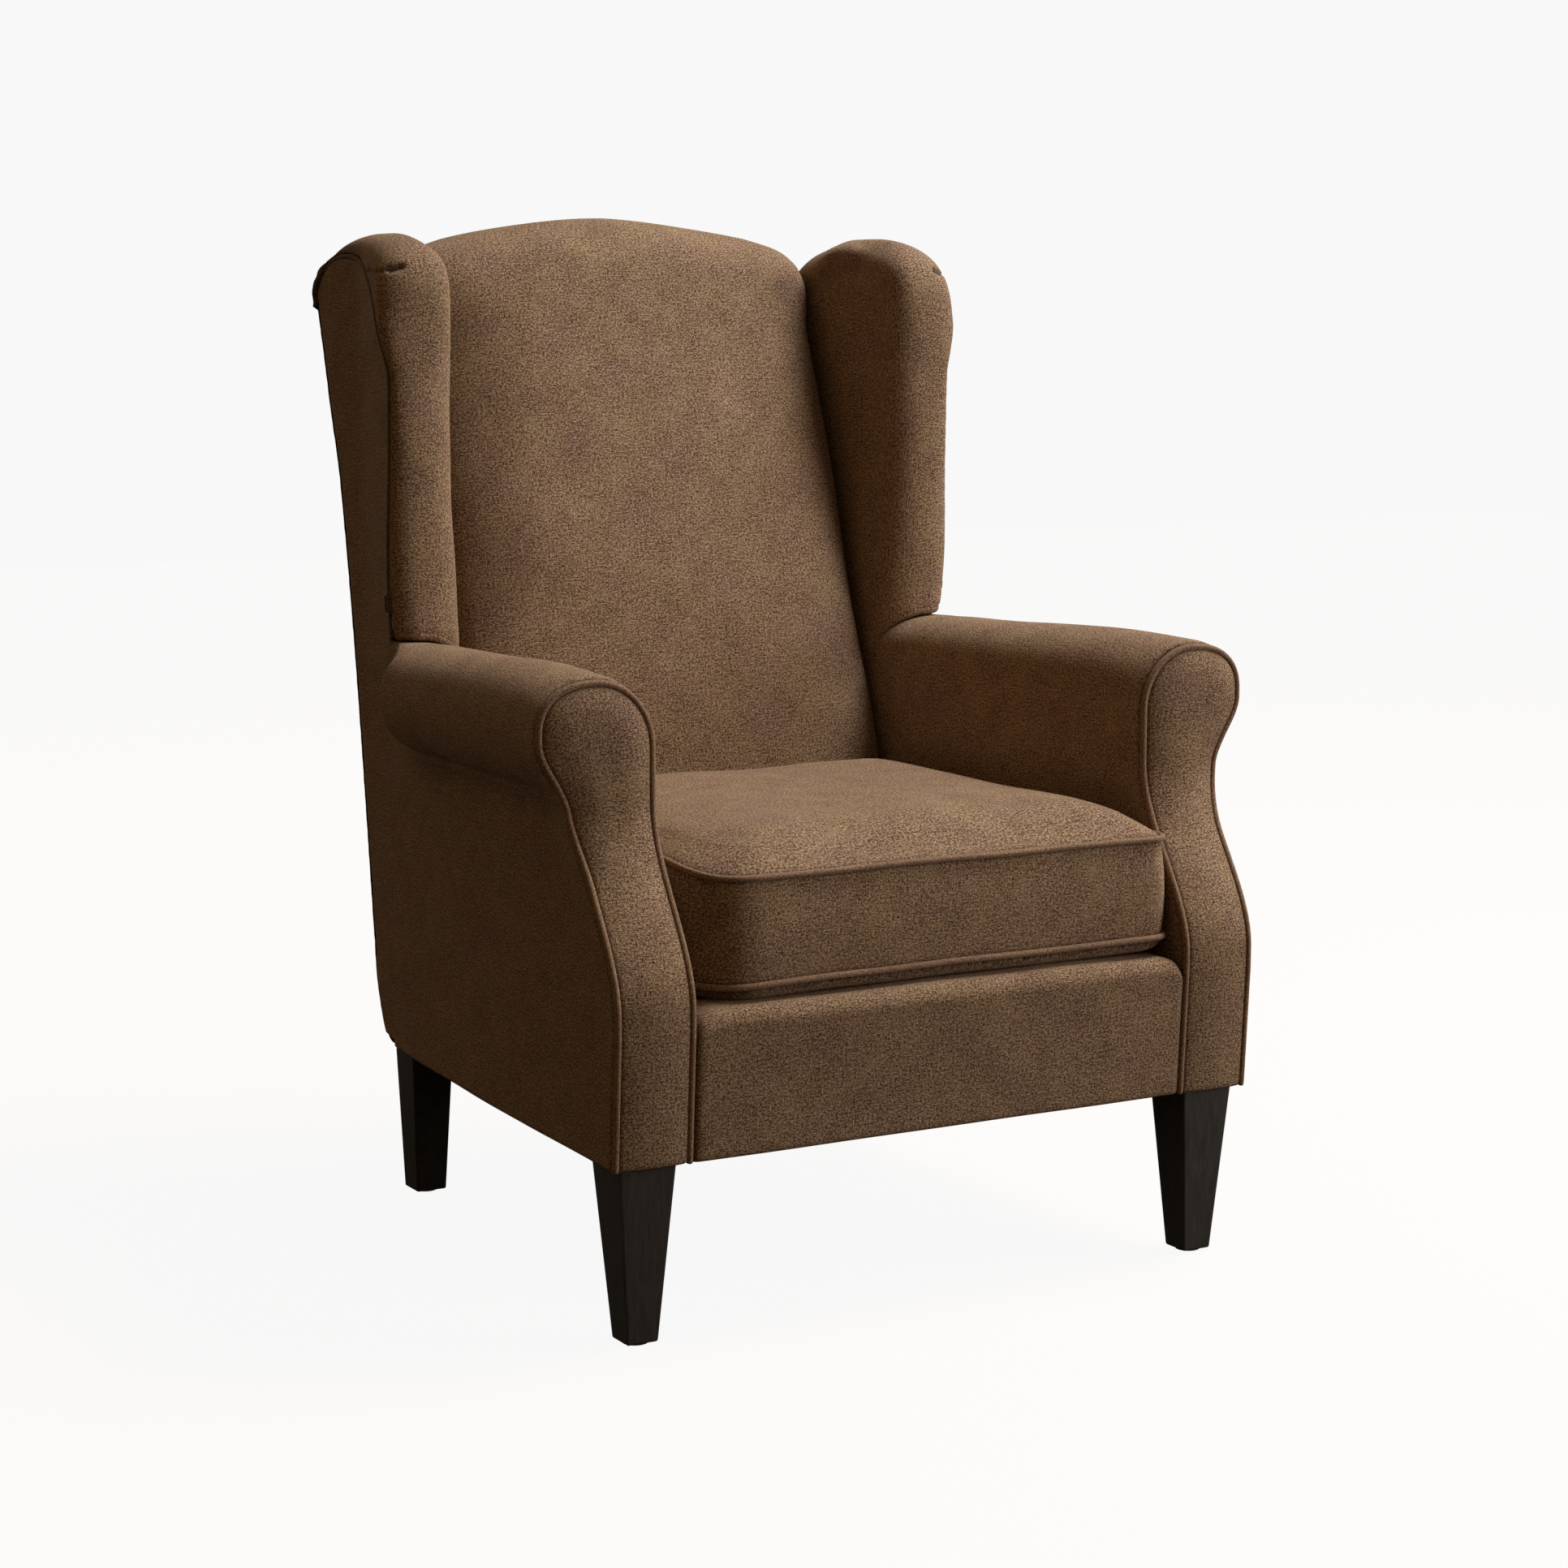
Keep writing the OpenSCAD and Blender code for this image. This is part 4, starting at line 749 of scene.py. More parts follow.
def tube(name, path, up, radius, closed=False, shade=0.0):
    """Piping: circles square to the path, turned about the direction called up."""
    sides = PIPE_SIDES
    ends = np.concatenate([path, path[:1]]) if closed else path
    path = even_steps(ends, max(8, int(path_lengths(ends)[-1] / PIPE_STEP)), not closed)
    if closed:
        along = np.roll(path, -1, axis=0) - np.roll(path, 1, axis=0)
    else:
        along = np.gradient(path, axis=0)
    along /= np.linalg.norm(along, axis=1, keepdims=True)
    side = np.cross(np.asarray(up, float), along)
    side /= np.linalg.norm(side, axis=1, keepdims=True)
    rise = np.cross(along, side)
    a = np.linspace(0, 2 * np.pi, sides, endpoint=False)[None, :, None]
    rings = path[:, None] + radius * (side[:, None] * np.cos(a) + rise[:, None] * np.sin(a))
    rows = np.concatenate([rings, rings[:1]]) if closed else rings
    if not closed:
        rows = np.concatenate([path[:1, None] + 0 * rings[:1], rings, path[-1:, None] + 0 * rings[-1:]])
    around = np.linspace(0, 2 * np.pi * radius, sides + 1)[None, :]
    far = path_lengths(rows.mean(axis=1))[:, None]
    flat = np.stack([around + far, around - far], axis=-1) / CROSS_CUT
    uv = flat.reshape(-1, 2)[grid_quads(len(rows), sides + 1)]
    used = rows[:-1] if closed else rows
    quads = grid_quads(len(rows), sides, wrap=True)
    if closed:
        quads = quads % (len(used) * sides)
    points = used.reshape(-1, 3)
    piece = make_piece(name, points, quads, uv, np.full(len(points), shade), rows.mean(axis=(0, 1)))
    return close_tube(piece)


# %% Facing piping
FACING_PIPE_R = 3.2


def facing_pipe_path(d=FACING_PIPE_R):
    """Up the inner edge, over the roll by two quarter ellipses, and down the outer edge."""
    up = np.linspace(BASE_Z + 1, INNER_Z, 150)
    a = np.radians(np.linspace(180, 90, 70))[1:]
    b = np.radians(np.linspace(90, 0.01, 140))[1:]
    down = np.linspace(ROLL_Z, BASE_Z + 1, 160)[1:]
    inner = ROLL_X + (ROLL_X - ARM_IN - d) * np.cos(a)
    outer = ROLL_X + (neck_x(ROLL_Z) - ROLL_X - d) * np.cos(b) ** (2 / ROLL_N)
    x = np.concatenate([ARM_IN + d + 0 * up, inner, outer, facing_out(down, d)])
    inner = INNER_Z + (ROLL_TOP - INNER_Z - d) * np.sin(a)
    outer = ROLL_Z + (ROLL_TOP - ROLL_Z - d) * np.sin(b) ** (2 / ROLL_N)
    z = np.concatenate([up, inner, outer, down])
    return np.stack([x, facing_y(z) + 4.6 + dive(z - BASE_Z, 5.0, 2.0), z], axis=1)


for side, name in ((-1, "left"), (1, "right")):
    pipe = tube(name + "_arm_piping", mirrored(facing_pipe_path(), side), (0, 1, 0), FACING_PIPE_R)
    finish_piece(pipe, piping_cloth, "chair", "piping_fabric", name + "_facing_piping")
print("facing piping made, length", round(float(path_lengths(facing_pipe_path())[-1])), "mm")


# %% [markdown]
# ## Arms and sides
# One cover runs up the side, over the arm and down its inner face, and behind the roll the
# same cloth goes on up to the arch of the wing. Each upright slice is one path: the flat side,
# a small hollow under the roll, the roll, and the inner face. Slices from front to back make
# a grid. Towards the back the roll eases away, so the cloth lies flat under the wing. Three
# grids share their edges and are joined into one mesh, so no edge shows between them.


# %% Arm cover
HOLLOW_R = 12.0
JOIN_Y = 562.0
JOIN_FRONT = 99.0


def outer_power(y):
    """Power of the roll's outer quarter: 2 is round, and 8 a square corner under the wing."""
    return 2.2 + 5.8 * ease((y - 500.0) / 60.0)


def inner_power(y):
    """Power of the roll's inner quarter, which turns squarer towards the back."""
    return 2.0 + 0.7 * clamp((y - 120.0) / 380.0)


def arm_section(y, q, front):
    """Half width and height at depth y: q runs up the side, round the roll and down the inner face."""
    cx, cz, r = roll_x(y), roll_z(y), roll_r(y)
    over = 1 - np.sqrt(1 - (1 - clamp(front / 18.0)) ** 2)
    high = r - 2.2 - 2.8 * over - 6.5 * (1 - clamp(front / 150.0)) ** 2
    hollow_x = outer_x(y, 500.0 + 0 * y) + HOLLOW_R
    low = cz - np.sqrt(np.maximum((r + HOLLOW_R) ** 2 - (hollow_x - cx) ** 2, 0.0))
    reach = np.arctan2(low - cz, hollow_x - cx)
    turn = np.pi + reach * clamp(q - 1)
    a = reach + (np.pi / 2 - reach) * clamp(q - 2)
    rise = np.maximum(a, 0.0)
    n = outer_power(y)
    roll_height = np.where(a < 0, cz + r * np.sin(a), cz + high * np.sin(rise) ** (2 / n))
    upright = BASE_Z + (low - BASE_Z) * clamp(q)
    z = np.select([q <= 1, q <= 2], [upright, low + HOLLOW_R * np.sin(turn)], roll_height)
    side = outer_x(y, z)
    wide = side + np.maximum(cx + r - side, 0.0) * bulge(y) - cx
    under = np.where(q <= 2, hollow_x + HOLLOW_R * np.cos(turn), cx + r * np.cos(a))
    under = side + np.maximum(under - side, 0.0) * bulge(y)
    x = np.where(q <= 1, side, np.where(a < 0, under, cx + wide * np.maximum(np.cos(rise), 0.0) ** (2 / n)))
    near = (1 - clamp(front / 75.0)) ** 2
    edge_x = np.where(z < ROLL_Z, facing_out(z, 0.0), x - 1.2 * (x - cx) / r)
    x = x + (edge_x - x) * near
    inner_z = cz - 15.0 * (1 - clamp(front / 60.0)) ** 2
    b = np.pi / 2 * (1 - clamp(q - 3))
    m = inner_power(y)
    inner_x = cx - (cx - arm_x(y)) * np.maximum(np.cos(b), 0.0) ** (2 / m)
    inner_height = inner_z + (cz + high - inner_z) * np.sin(b) ** (2 / m)
    z5 = inner_z + (285.0 - inner_z) * clamp(q - 4)
    puff = 3.0 * np.sin(np.pi * clamp((z5 - 400.0) / 170.0)) * np.sin(np.pi * clamp((y - 90.0) / 460.0))
    x = np.select([q <= 3, q <= 4], [x, inner_x], arm_x(y) - puff)
    z = np.select([q <= 3, q <= 4], [z, inner_height], z5)
    return x, z


SIDE_Q = np.concatenate([0.045 * np.linspace(0, 1, 7)[:-1], np.linspace(0.045, 1, 84)])
TURN_Q = np.concatenate([np.linspace(1, 2, 12)[1:], np.linspace(2, 3, 50)[1:]])
INNER_Q = np.concatenate([np.linspace(3, 4, 40)[1:], np.linspace(4, 5, 46)[1:]])


def arm_grid():
    """Columns from the facing back to the join, rows along the slice's path."""
    q = np.concatenate([SIDE_Q, TURN_Q, INNER_Q])[:, None]
    s = (np.linspace(0, 1, 148) ** 1.25)[None, :]
    height = arm_section(np.full_like(q, 80.0), q, np.zeros_like(q))[1]
    start = facing_y(height) + 6.5
    y = start + (JOIN_Y - start) * s
    front = y - start
    x, z = arm_section(y, q + 0 * y, front)
    return np.stack([x, y, z], axis=-1), front, q + 0 * y


def tail_grid():
    """The arm's top and inner face behind the join, on to the crease beside the inside back."""
    q = np.concatenate([[3.0], INNER_Q])[:, None]
    y = np.linspace(JOIN_Y, 600.0, 14)[None, :] + 0 * q
    x, z = arm_section(y, q + 0 * y, JOIN_FRONT + 0 * y)
    return np.stack([x, y, z], axis=-1)


# %% [markdown]
# ## Wing seam and outside panels
# The seam round the wing's outer face is one line: up, round an arch, and down to the back.
# The side panel ends just inside that line, the wing's padding ends on it, and a thin welt
# fills the gap.


# %% Side panel
ARCH_Y = 697.0
ARCH_LOW = 870.0
ARCH_TOP = 997.0
ARCH_N = 1.9
ARCH_FALL = 34.0
REAR_END = 777.0
SEAM_FOOT_Y = 556.0
SEAM_FOOT_Z = 606.0


def seam_front(z, gap):
    """Depth of the seam's front part: nearly straight, then a quarter of a rounded arch."""
    share = clamp((z - SEAM_FOOT_Z) / (ARCH_LOW - SEAM_FOOT_Z))
    straight = SEAM_FOOT_Y - (SEAM_FOOT_Y - SEAM_FRONT_Y) * share
    t = (z - ARCH_LOW) / (ARCH_TOP - gap - ARCH_LOW)
    arch = ARCH_Y - (ARCH_Y - SEAM_FRONT_Y - gap) * squared(t, ARCH_N)
    return np.where(z < ARCH_LOW, straight + gap, arch)


def seam_rear(z, gap):
    """Depth of the seam's rear part, which falls away behind the arch by a power curve."""
    return ARCH_Y + (REAR_END - ARCH_Y) * clamp((ARCH_TOP - gap - z) / ARCH_FALL) ** (1 / 2.4)


def rear_inset(z, d):
    """Depth of the outside back drawn in by d, with the rounding at its foot."""
    share = clamp((ROUND_TOP_Z - z) / (FOOT_ROUND_Z - d))
    drop = (FOOT_ROUND_Y - d) * (1 - np.sqrt(1 - share**2))
    return np.where(z >= ROUND_TOP_Z, rear_line(z) - d, REAR_Y - d - drop)


def side_rear(z):
    """Rear edge of the side, just in front of the outside back."""
    return np.where(z < BASE_Z + 11.5, 592.0, rear_inset(z, 2.0))


def side_grid(gap=5.0):
    """Rows from the lower edge to the arch, columns from the join back to the outside back."""
    q = np.concatenate([SIDE_Q, TURN_Q])
    x_join, z_join = arm_section(np.full_like(q, JOIN_Y), q, np.full_like(q, JOIN_FRONT))
    z_wing = np.linspace(z_join[-1] + 2.0, ARCH_LOW, 80)
    z_arch = ARCH_LOW + (ARCH_TOP - gap - 0.2 - ARCH_LOW) * np.sin(np.radians(np.linspace(0, 90, 60)[1:]))
    z = np.concatenate([z_join, z_wing, z_arch])[:, None]
    front = np.where(z <= z_join[-1], JOIN_Y, np.minimum(seam_front(z, gap), seam_rear(z, gap)))
    falling = z > ARCH_TOP - gap - ARCH_FALL
    rear = np.where(falling, np.minimum(side_rear(z), seam_rear(z, gap)), side_rear(z))
    y = front + (rear - front) * np.linspace(0, 1, 46)[None, :]
    z = z + 0 * y
    x = outer_x(y, z)
    x[: len(q), 0] = x_join
    return np.stack([x, y, z], axis=-1), np.minimum(side_rear(z) - y, JOIN_FRONT)


def weld(parts):
    """Joins grids into one list of points and cells, merging points that lie together."""
    points = np.concatenate([p.reshape(-1, 3) for p, _, _ in parts])
    start = np.cumsum([0] + [p.shape[0] * p.shape[1] for p, _, _ in parts])
    quads = np.concatenate([grid_quads(*p.shape[:2]) + n for (p, _, _), n in zip(parts, start)])
    uv = np.concatenate([u.reshape(-1, 2) for _, u, _ in parts])[quads]
    shade = np.concatenate([e.ravel() for _, _, e in parts])
    _, first, same = np.unique(np.round(points, 2), axis=0, return_index=True, return_inverse=True)
    return points[first], same.reshape(-1)[quads], uv, shade[first]


def path_uv(grid, first):
    """Depth along the chair, and the length of the path up each slice, in metres."""
    up = np.linalg.norm(np.diff(grid, axis=0), axis=-1).cumsum(axis=0)
    up = np.pad(up, ((1, 0), (0, 0))) + first
    return np.stack([grid[..., 1], up], axis=-1) / 1000.0


def make_arms():
    """The three grids of each side, with their dives and slow waves, joined into one cover."""
    arm, front, q = arm_grid()
    side, rear = side_grid()
    tail = tail_grid()
    arm_uv = path_uv(arm, BASE_Z)
    side_uv = side[..., 1:] / 1000.0
    tail_uv = path_uv(tail, arm_uv[len(SIDE_Q) + len(TURN_Q) - 1, -1, 1] * 1000.0)
    inside = np.array([ROLL_X, 330.0, 520.0])
    calm = clamp(front / 15.0) * clamp((JOIN_Y - arm[..., 1]) / 60.0)
    lift = waves(arm_uv, 21, 140.0, 0.6) * calm + puckers(arm_uv[..., 1] * 1000.0, front, 22, 0.2)
    hollow = np.exp(-((q - 1.0) / 0.05) ** 2) * bulge(arm[..., 1])
    lift -= dive(front, 6.0, 4.5) + 0.6 * hollow
    arm = arm + grid_normals(arm, inside) * lift[..., None]
    arm[..., 0] -= dive(arm[..., 2] - BASE_Z, 5.0, 3.0) * (q < 1)
    behind = side[..., 1] - JOIN_Y
    side[..., 0] += waves(side_uv, 31, 170.0, 0.8) * clamp(rear / 30.0) * clamp(behind / 40.0)
    side[..., 0] -= dive(rear, 9.0, 4.0) + dive(side[..., 2] - BASE_Z, 5.0, 3.0)
    # Painted shade: the cloth is darkened at the facing's seam and, as a soft painted shadow, along the
    # hollow under the roll.
    parts = [(arm, arm_uv, np.maximum(seam_shade(front, 2.2), 0.30 * hollow)),
             (side, side_uv, seam_shade(rear, 2.5)), (tail, tail_uv, np.zeros(tail.shape[:2]))]
    points, quads, uv, shade = weld(parts)
    for hand, name in ((-1, "left"), (1, "right")):
        piece = make_piece(name + "_arm_and_side_cover", mirrored(points, hand), quads, uv, shade,
                           np.array([hand * 300.0, 330.0, 440.0]))
        add_wall(piece, 3.0)
        finish_pad(piece, "chair", name + "_arm_pad", name + "_outside_arm", name + "_outside_wing")


make_arms()
print("arm and side covers made")


# %% [markdown]
# ## Wings
# A wing is a thick board with padding wrapped round its front and over its top. Its section
# is half an ellipse from the outer seam round to the inner face, then a flat run back to the
# crease beside the inside back. The section is carried along the wing's edge: up the front,
# round the top corner and down towards the back.


# %% Lines of the wing
WING_CORNER_Z = 943.0
WING_CORNER_N = 0.69
TAIL_DEPTH = 46.0
LOW_ROWS = 110
ARCH_ROWS = 110
FALL_ROWS = 46


def ridge_line():
    """Depth and height along the wing's ridge: straight up, a quarter ellipse, a falling curve."""
    low = np.linspace(WING_BASE_Z, ARCH_LOW, LOW_ROWS)
    b = np.linspace(0, np.pi / 2, 600)
    corner = np.stack([WING_TOP_Y - (WING_TOP_Y - WING_FRONT_Y) * np.cos(b) ** WING_CORNER_N,
                       WING_CORNER_Z + (WING_TOP_Z - WING_CORNER_Z) * np.sin(b) ** WING_CORNER_N], axis=1)
    bend = np.concatenate([[[WING_FRONT_Y, ARCH_LOW]], corner])
    c = np.linspace(0, 1, FALL_ROWS)[1:]
    fall = np.stack([WING_TOP_Y + (WING_REAR_Y - WING_TOP_Y) * c, WING_TOP_Z - WING_FALL * c**2.0], axis=1)
    front = np.stack([WING_FRONT_Y + 0 * low, low], axis=1)
    return np.concatenate([front, even_steps(bend, ARCH_ROWS)[1:], fall])


def seam_line(gap=0.0):
    """Depth and height along the seam, drawn in by the gap, with as many rows as the ridge."""
    low = np.linspace(WING_BASE_Z, ARCH_LOW, LOW_ROWS)
    b = np.linspace(0, np.pi / 2, 200)
    arch = np.stack([ARCH_Y - (ARCH_Y - SEAM_FRONT_Y - gap) * np.cos(b) ** (2 / ARCH_N),
                     ARCH_LOW + (ARCH_TOP - gap - ARCH_LOW) * np.sin(b) ** (2 / ARCH_N)], axis=1)
    c = np.linspace(0, 1, FALL_ROWS)[1:]
    fall = np.stack([ARCH_Y + (REAR_END - ARCH_Y) * c, ARCH_TOP - gap - ARCH_FALL * c**2.4], axis=1)
    front = np.stack([seam_front(low, gap), low], axis=1)
    return np.concatenate([front, even_steps(arch, ARCH_ROWS)[1:], fall])


def tail_line():
    """The wing cover's inner end, behind the crease and then along the top."""
    z = np.concatenate([np.linspace(WING_BASE_Z, 880, LOW_ROWS), np.linspace(880, 950, ARCH_ROWS)[1:],
                        np.linspace(950, 920, FALL_ROWS)[1:]])
    rear = np.linspace(back_y(950.0) + TAIL_DEPTH, WING_REAR_Y - 11.0, FALL_ROWS)[1:]
    y = np.concatenate([back_y(z[: LOW_ROWS + ARCH_ROWS - 1]) + TAIL_DEPTH, rear])
    return np.stack([y, z], axis=1)


def wing_in(y, z):
    """Half width of the wing's inner face: a straight line from its front to the crease."""
    c = crease_x(z) + 0.3
    return c + (WING_INNER - c) * clamp((back_y(z) - y) / (back_y(z) - WING_FRONT_Y))


def arm_top(x, y):
    """Height of the arm's cover under the wing at a half width and a depth."""
    cx, cz, r = roll_x(y), roll_z(y), roll_r(y)
    side = outer_x(y, 600.0 + 0 * y)
    wide = side + np.maximum(cx + r - side, 0.0) * bulge(y) - cx
    inner = cz + r * squared((cx - x) / (cx - arm_x(y)), inner_power(y))
    outer = cz + r * squared((x - cx) / (wide + 3.0), outer_power(y))
    return np.where(x < cx, inner, outer)


# %% Wing cover
TURNED_ROWS = 6
MARGIN_COLUMNS = 5


def wing_grid():
    """Rows along the wing's edge, columns round its section from the outer seam to the crease.

    The last rows turn down at the rear end, until they meet the outside back.
    """
    ridge, seam, tail = ridge_line(), seam_line(), tail_line()
    away = tail - ridge
    reach = np.linalg.norm(away, axis=1)
    inward = away / reach[:, None]
    row = np.arange(len(ridge))[:, None]
    end = ridge + inward * np.minimum(42.0 + 14.0 * ease((row - 185) / 40.0), 0.8 * reach[:, None])
    share = 0.56 - 0.14 * ease((row - 115) / 35.0) + 0.19 * ease((row - 175) / 35.0)
    share = share + 0.17 * ease((row - 219) / 30.0)
    stuffed = 14.0 * np.exp(-(((ridge[:, :1] - 595.0) / 40.0) ** 2)) * ease((ridge[:, 1:] - 960.0) / 40.0)
    x_mid = (1 - share) * (wing_in(ridge[:, 0], ridge[:, 1])[:, None] + 0.5 * stuffed)
    x_mid = x_mid + share * outer_x(seam[:, 0], seam[:, 1])[:, None]
    x_end = wing_in(end[:, 0], end[:, 1])[:, None] + stuffed
    corner = np.exp(-(((row - 150) / 26.0) ** 2))
    top = ease((row - 165) / 40.0)
    a = np.radians(np.linspace(90, 0, 30))[None, :]
    power = 0.84 + 0.16 * top
    sin_a, cos_a = np.sin(a) ** power, np.maximum(np.cos(a), 0.0) ** power
    out = ridge[:, None] + (seam - ridge)[:, None] * (1 - cos_a)[..., None]
    x_out = outer_x(out[..., 0], out[..., 1]) - 0.5
    puff = 2.0 * np.sin(a) ** 2 * np.cos(a) * ease((out[..., 1] - 640.0) / 60.0)
    puff = puff + 7.0 * np.sin(2 * a) * corner
    out = np.concatenate([(x_mid + (x_out - x_mid) * sin_a + puff)[..., None], out], axis=-1)
    b = np.radians(np.linspace(0, 90, 40))[None, 1:]
    power = 0.80 - 0.12 * corner + 0.18 * ease((row - 205) / 25.0)
    sin_b, cos_b = np.sin(b) ** power, np.maximum(np.cos(b), 0.0) ** power
    turn = np.concatenate([(x_mid + (x_end - x_mid) * sin_b)[..., None],
                           ridge[:, None] + (end - ridge)[:, None] * (1 - cos_b)[..., None]], axis=-1)
    s = np.linspace(0, 1, 36)[None, 1:, None]
    run = end[:, None] + (tail - end)[:, None] * s
    run_x = wing_in(run[..., 0], run[..., 1]) + stuffed * (1 - s[..., 0]) ** 2
    run = np.concatenate([run_x[..., None], run], axis=-1)
    grid = np.concatenate([out, turn, run], axis=1)
    y = grid[..., 1]
    slump = 8.0 * np.exp(-(((y - 600.0) / 40.0) ** 2)) + 6.0 * np.exp(-(((y - 682.0) / 28.0) ** 2))
    grid[..., 2] -= slump * ease((292.0 - grid[..., 0]) / 25.0) * ease((grid[..., 2] - 940.0) / 50.0)
    foot = arm_top(grid[..., 0], y) - 2.0
    low = np.clip((720.0 - grid[..., 2]) / (720.0 - WING_BASE_Z), 0.0, 1.0)
    grid[..., 2] += (foot - WING_BASE_Z) * low
    turned = np.repeat(grid[-1:], TURNED_ROWS, axis=0)
    k = np.linspace(0, 1, TURNED_ROWS + 1)[1:, None]
    turned[..., 2] -= 20.0 * k**1.5
    behind = np.maximum(rear_line(turned[..., 2]) - 4.0 - turned[..., 1], 0.0)
    turned[..., 1] += behind * np.sin(np.pi / 2 * k)
    return np.concatenate([grid, turned])


def near_segment(points, a, b):
    """Distance from points to the segment from a to b, and the share of the way along it."""
    a, b = np.asarray(a, float), np.asarray(b, float)
    t = clamp(((points - a) @ (b - a)) / np.dot(b - a, b - a))
    return np.linalg.norm(points - a - t[..., None] * (b - a), axis=-1), t


def make_wings():
    """Both wing covers, with the dart at the top front corner and the tuck at the foot.

    A margin turns in behind the outer seam, so that nothing shows between it and the welt.
    """
    grid = wing_grid()
    inside = np.array([305.0, 640.0, 800.0])
    normal = grid_normals(grid, inside)
    uv = cloth_uv(grid)
    outer = (uv[..., 0] - uv[:, :1, 0]) * 1000.0
    foot = uv[..., 1] * 1000.0
    dart, share = near_segment(grid[..., ::2], (343.5, 975.0), (316.5, 983.0))
    slot = np.where(share > 0.5, 1.0, 0.45) * np.exp(-((dart / np.where(share > 0.5, 3.0, 1.6)) ** 2))
    slot = slot * (grid[..., 1] < 600.0)
    lift = waves(uv, 41, 120.0, 0.7) * clamp(outer / 20.0)
    lift += puckers(foot, outer, 42, 0.3) + puckers(uv[..., 0] * 1000.0, foot, 43, 0.8, 16.0, 24.0)
    hem = 1.2 * np.exp(-((foot - 10.0) / 2.0) ** 2)
    lift -= dive(outer, 5.0, 2.5) + dive(foot, 9.0, 6.0) + dive(foot, 40.0, 4.0) + hem + 4.0 * slot
    grid = grid + normal * lift[..., None]
    # Painted shade: the cloth is darkened at the outer seam, at the foot and in the dart's slot, where
    # shadow falls.
    shade = np.maximum(seam_shade(outer, 3.2), np.maximum(seam_shade(foot, 2.5), slot))
    under = seam_line(9.0) - seam_line()
    under = np.concatenate([under, np.repeat(under[-1:], len(grid) - len(under), axis=0)])
    turn = np.column_stack([np.full(len(grid), -12.0), under])
    margin = grid[:, :1] + turn[:, None] * np.linspace(1, 0, MARGIN_COLUMNS + 1)[None, :-1, None]
    grid = np.concatenate([margin, grid], axis=1)
    shade = np.pad(shade, ((0, 0), (MARGIN_COLUMNS, 0)), mode="edge")
    for side, name in ((-1, "left"), (1, "right")):
        piece = cover(name + "_wing_cover", mirrored(grid, side), mirrored(inside, side), shade)
        finish_pad(piece, "chair", name + "_wing_pad")


make_wings()
print("wing covers made")


# %% Wing piping
WING_PIPE_R = 2.6


def wing_pipe_path():
    """Along the arched seam, just inside the side of the chair."""
    line = seam_line(WING_PIPE_R)
    x = outer_x(line[:, 0], line[:, 1]) - 1.6
    return np.column_stack([x, line])[:-2]


# The welts are darkened all along by painted shade of 0.6, the shadow in the wing's seam.
for side, name in ((-1, "left"), (1, "right")):
    pipe = tube(name + "_wing_welt", mirrored(wing_pipe_path(), side), (1, 0, 0), WING_PIPE_R, shade=0.6)
    finish_piece(pipe, piping_cloth, "chair", "piping_fabric", name + "_wing_piping")
print("wing piping made")


# %% [markdown]
# ## The inside back
# The back cushion is fixed. Its cover rises from behind the seat, swells forwards a little,
# and rolls over the crest. Columns run across it and rows run up it and over the top.


# %% Inside back
TUCK_COLUMNS = 8


def inside_back_grid():
    """Rows up the face, round the crest and back to the outside back."""
    e = side_to_side(151)
    top = crest_height(e * CREST_HALF)

    def swell_at(z):
        """Swell of the face at a height: most in the middle, none at the sides."""
        return 22.0 * (1 - np.abs(e) ** 3.0) * (1 - np.abs((z - 660.0) / 400.0) ** 3.0)

    s = np.linspace(0, 1, 130)[:, None]
    z1 = 311.3 + (top - CREST_ROLL - 311.3) * s
    y1 = back_y(z1) - swell_at(z1)
    a = np.radians(np.linspace(0, 90, 36))[1:, None]
    z2 = top - CREST_ROLL + CREST_ROLL * np.sin(a)
    y2 = back_y(z2) + CREST_ROLL * (1 - np.cos(a)) - swell_at(z2)
    r = np.linspace(0, 1, 24)[1:, None]
    y_end = rear_line(top - 4.0) + BACK_SWELL * (1 - (e * CREST_HALF / REAR_HALF) ** 2) - 3.5
    y3 = y2[-1:] + (y_end - y2[-1:]) * r
    z3 = top - (4.0 + 4.0 * np.abs(e)) * r**2
    y, z = np.concatenate([y1, y2, y3]), np.concatenate([z1, z2, z3])
    half = crease_x(z) - 0.3
    x = e * half
    side = half * (1 - np.abs(e))
    return np.stack([x, y, z], axis=-1), side


def tucked(grid, normal):
    """The grid with a margin at each side that turns in, until it lies behind the wing's face."""
    k = np.linspace(0, 1, TUCK_COLUMNS + 1)[1:, None]
    margins = []
    for edge, turn, hand in ((grid[:, 0], normal[:, 0], -1), (grid[:, -1], normal[:, -1], 1)):
        reach = 8.0 + 56.0 * clamp((edge[:, 1] - 705.0) / 60.0) * clamp((edge[:, 2] - 930.0) / 20.0)
        end = edge - turn * reach[:, None]
        end[:, 0] = hand * (crease_x(edge[:, 2]) + 4.0)
        margins.append(edge[:, None] + (end - edge)[:, None] * np.concatenate([k**0.6, k, k], axis=1))
    return np.concatenate([margins[0][:, ::-1], grid, margins[1]], axis=1)


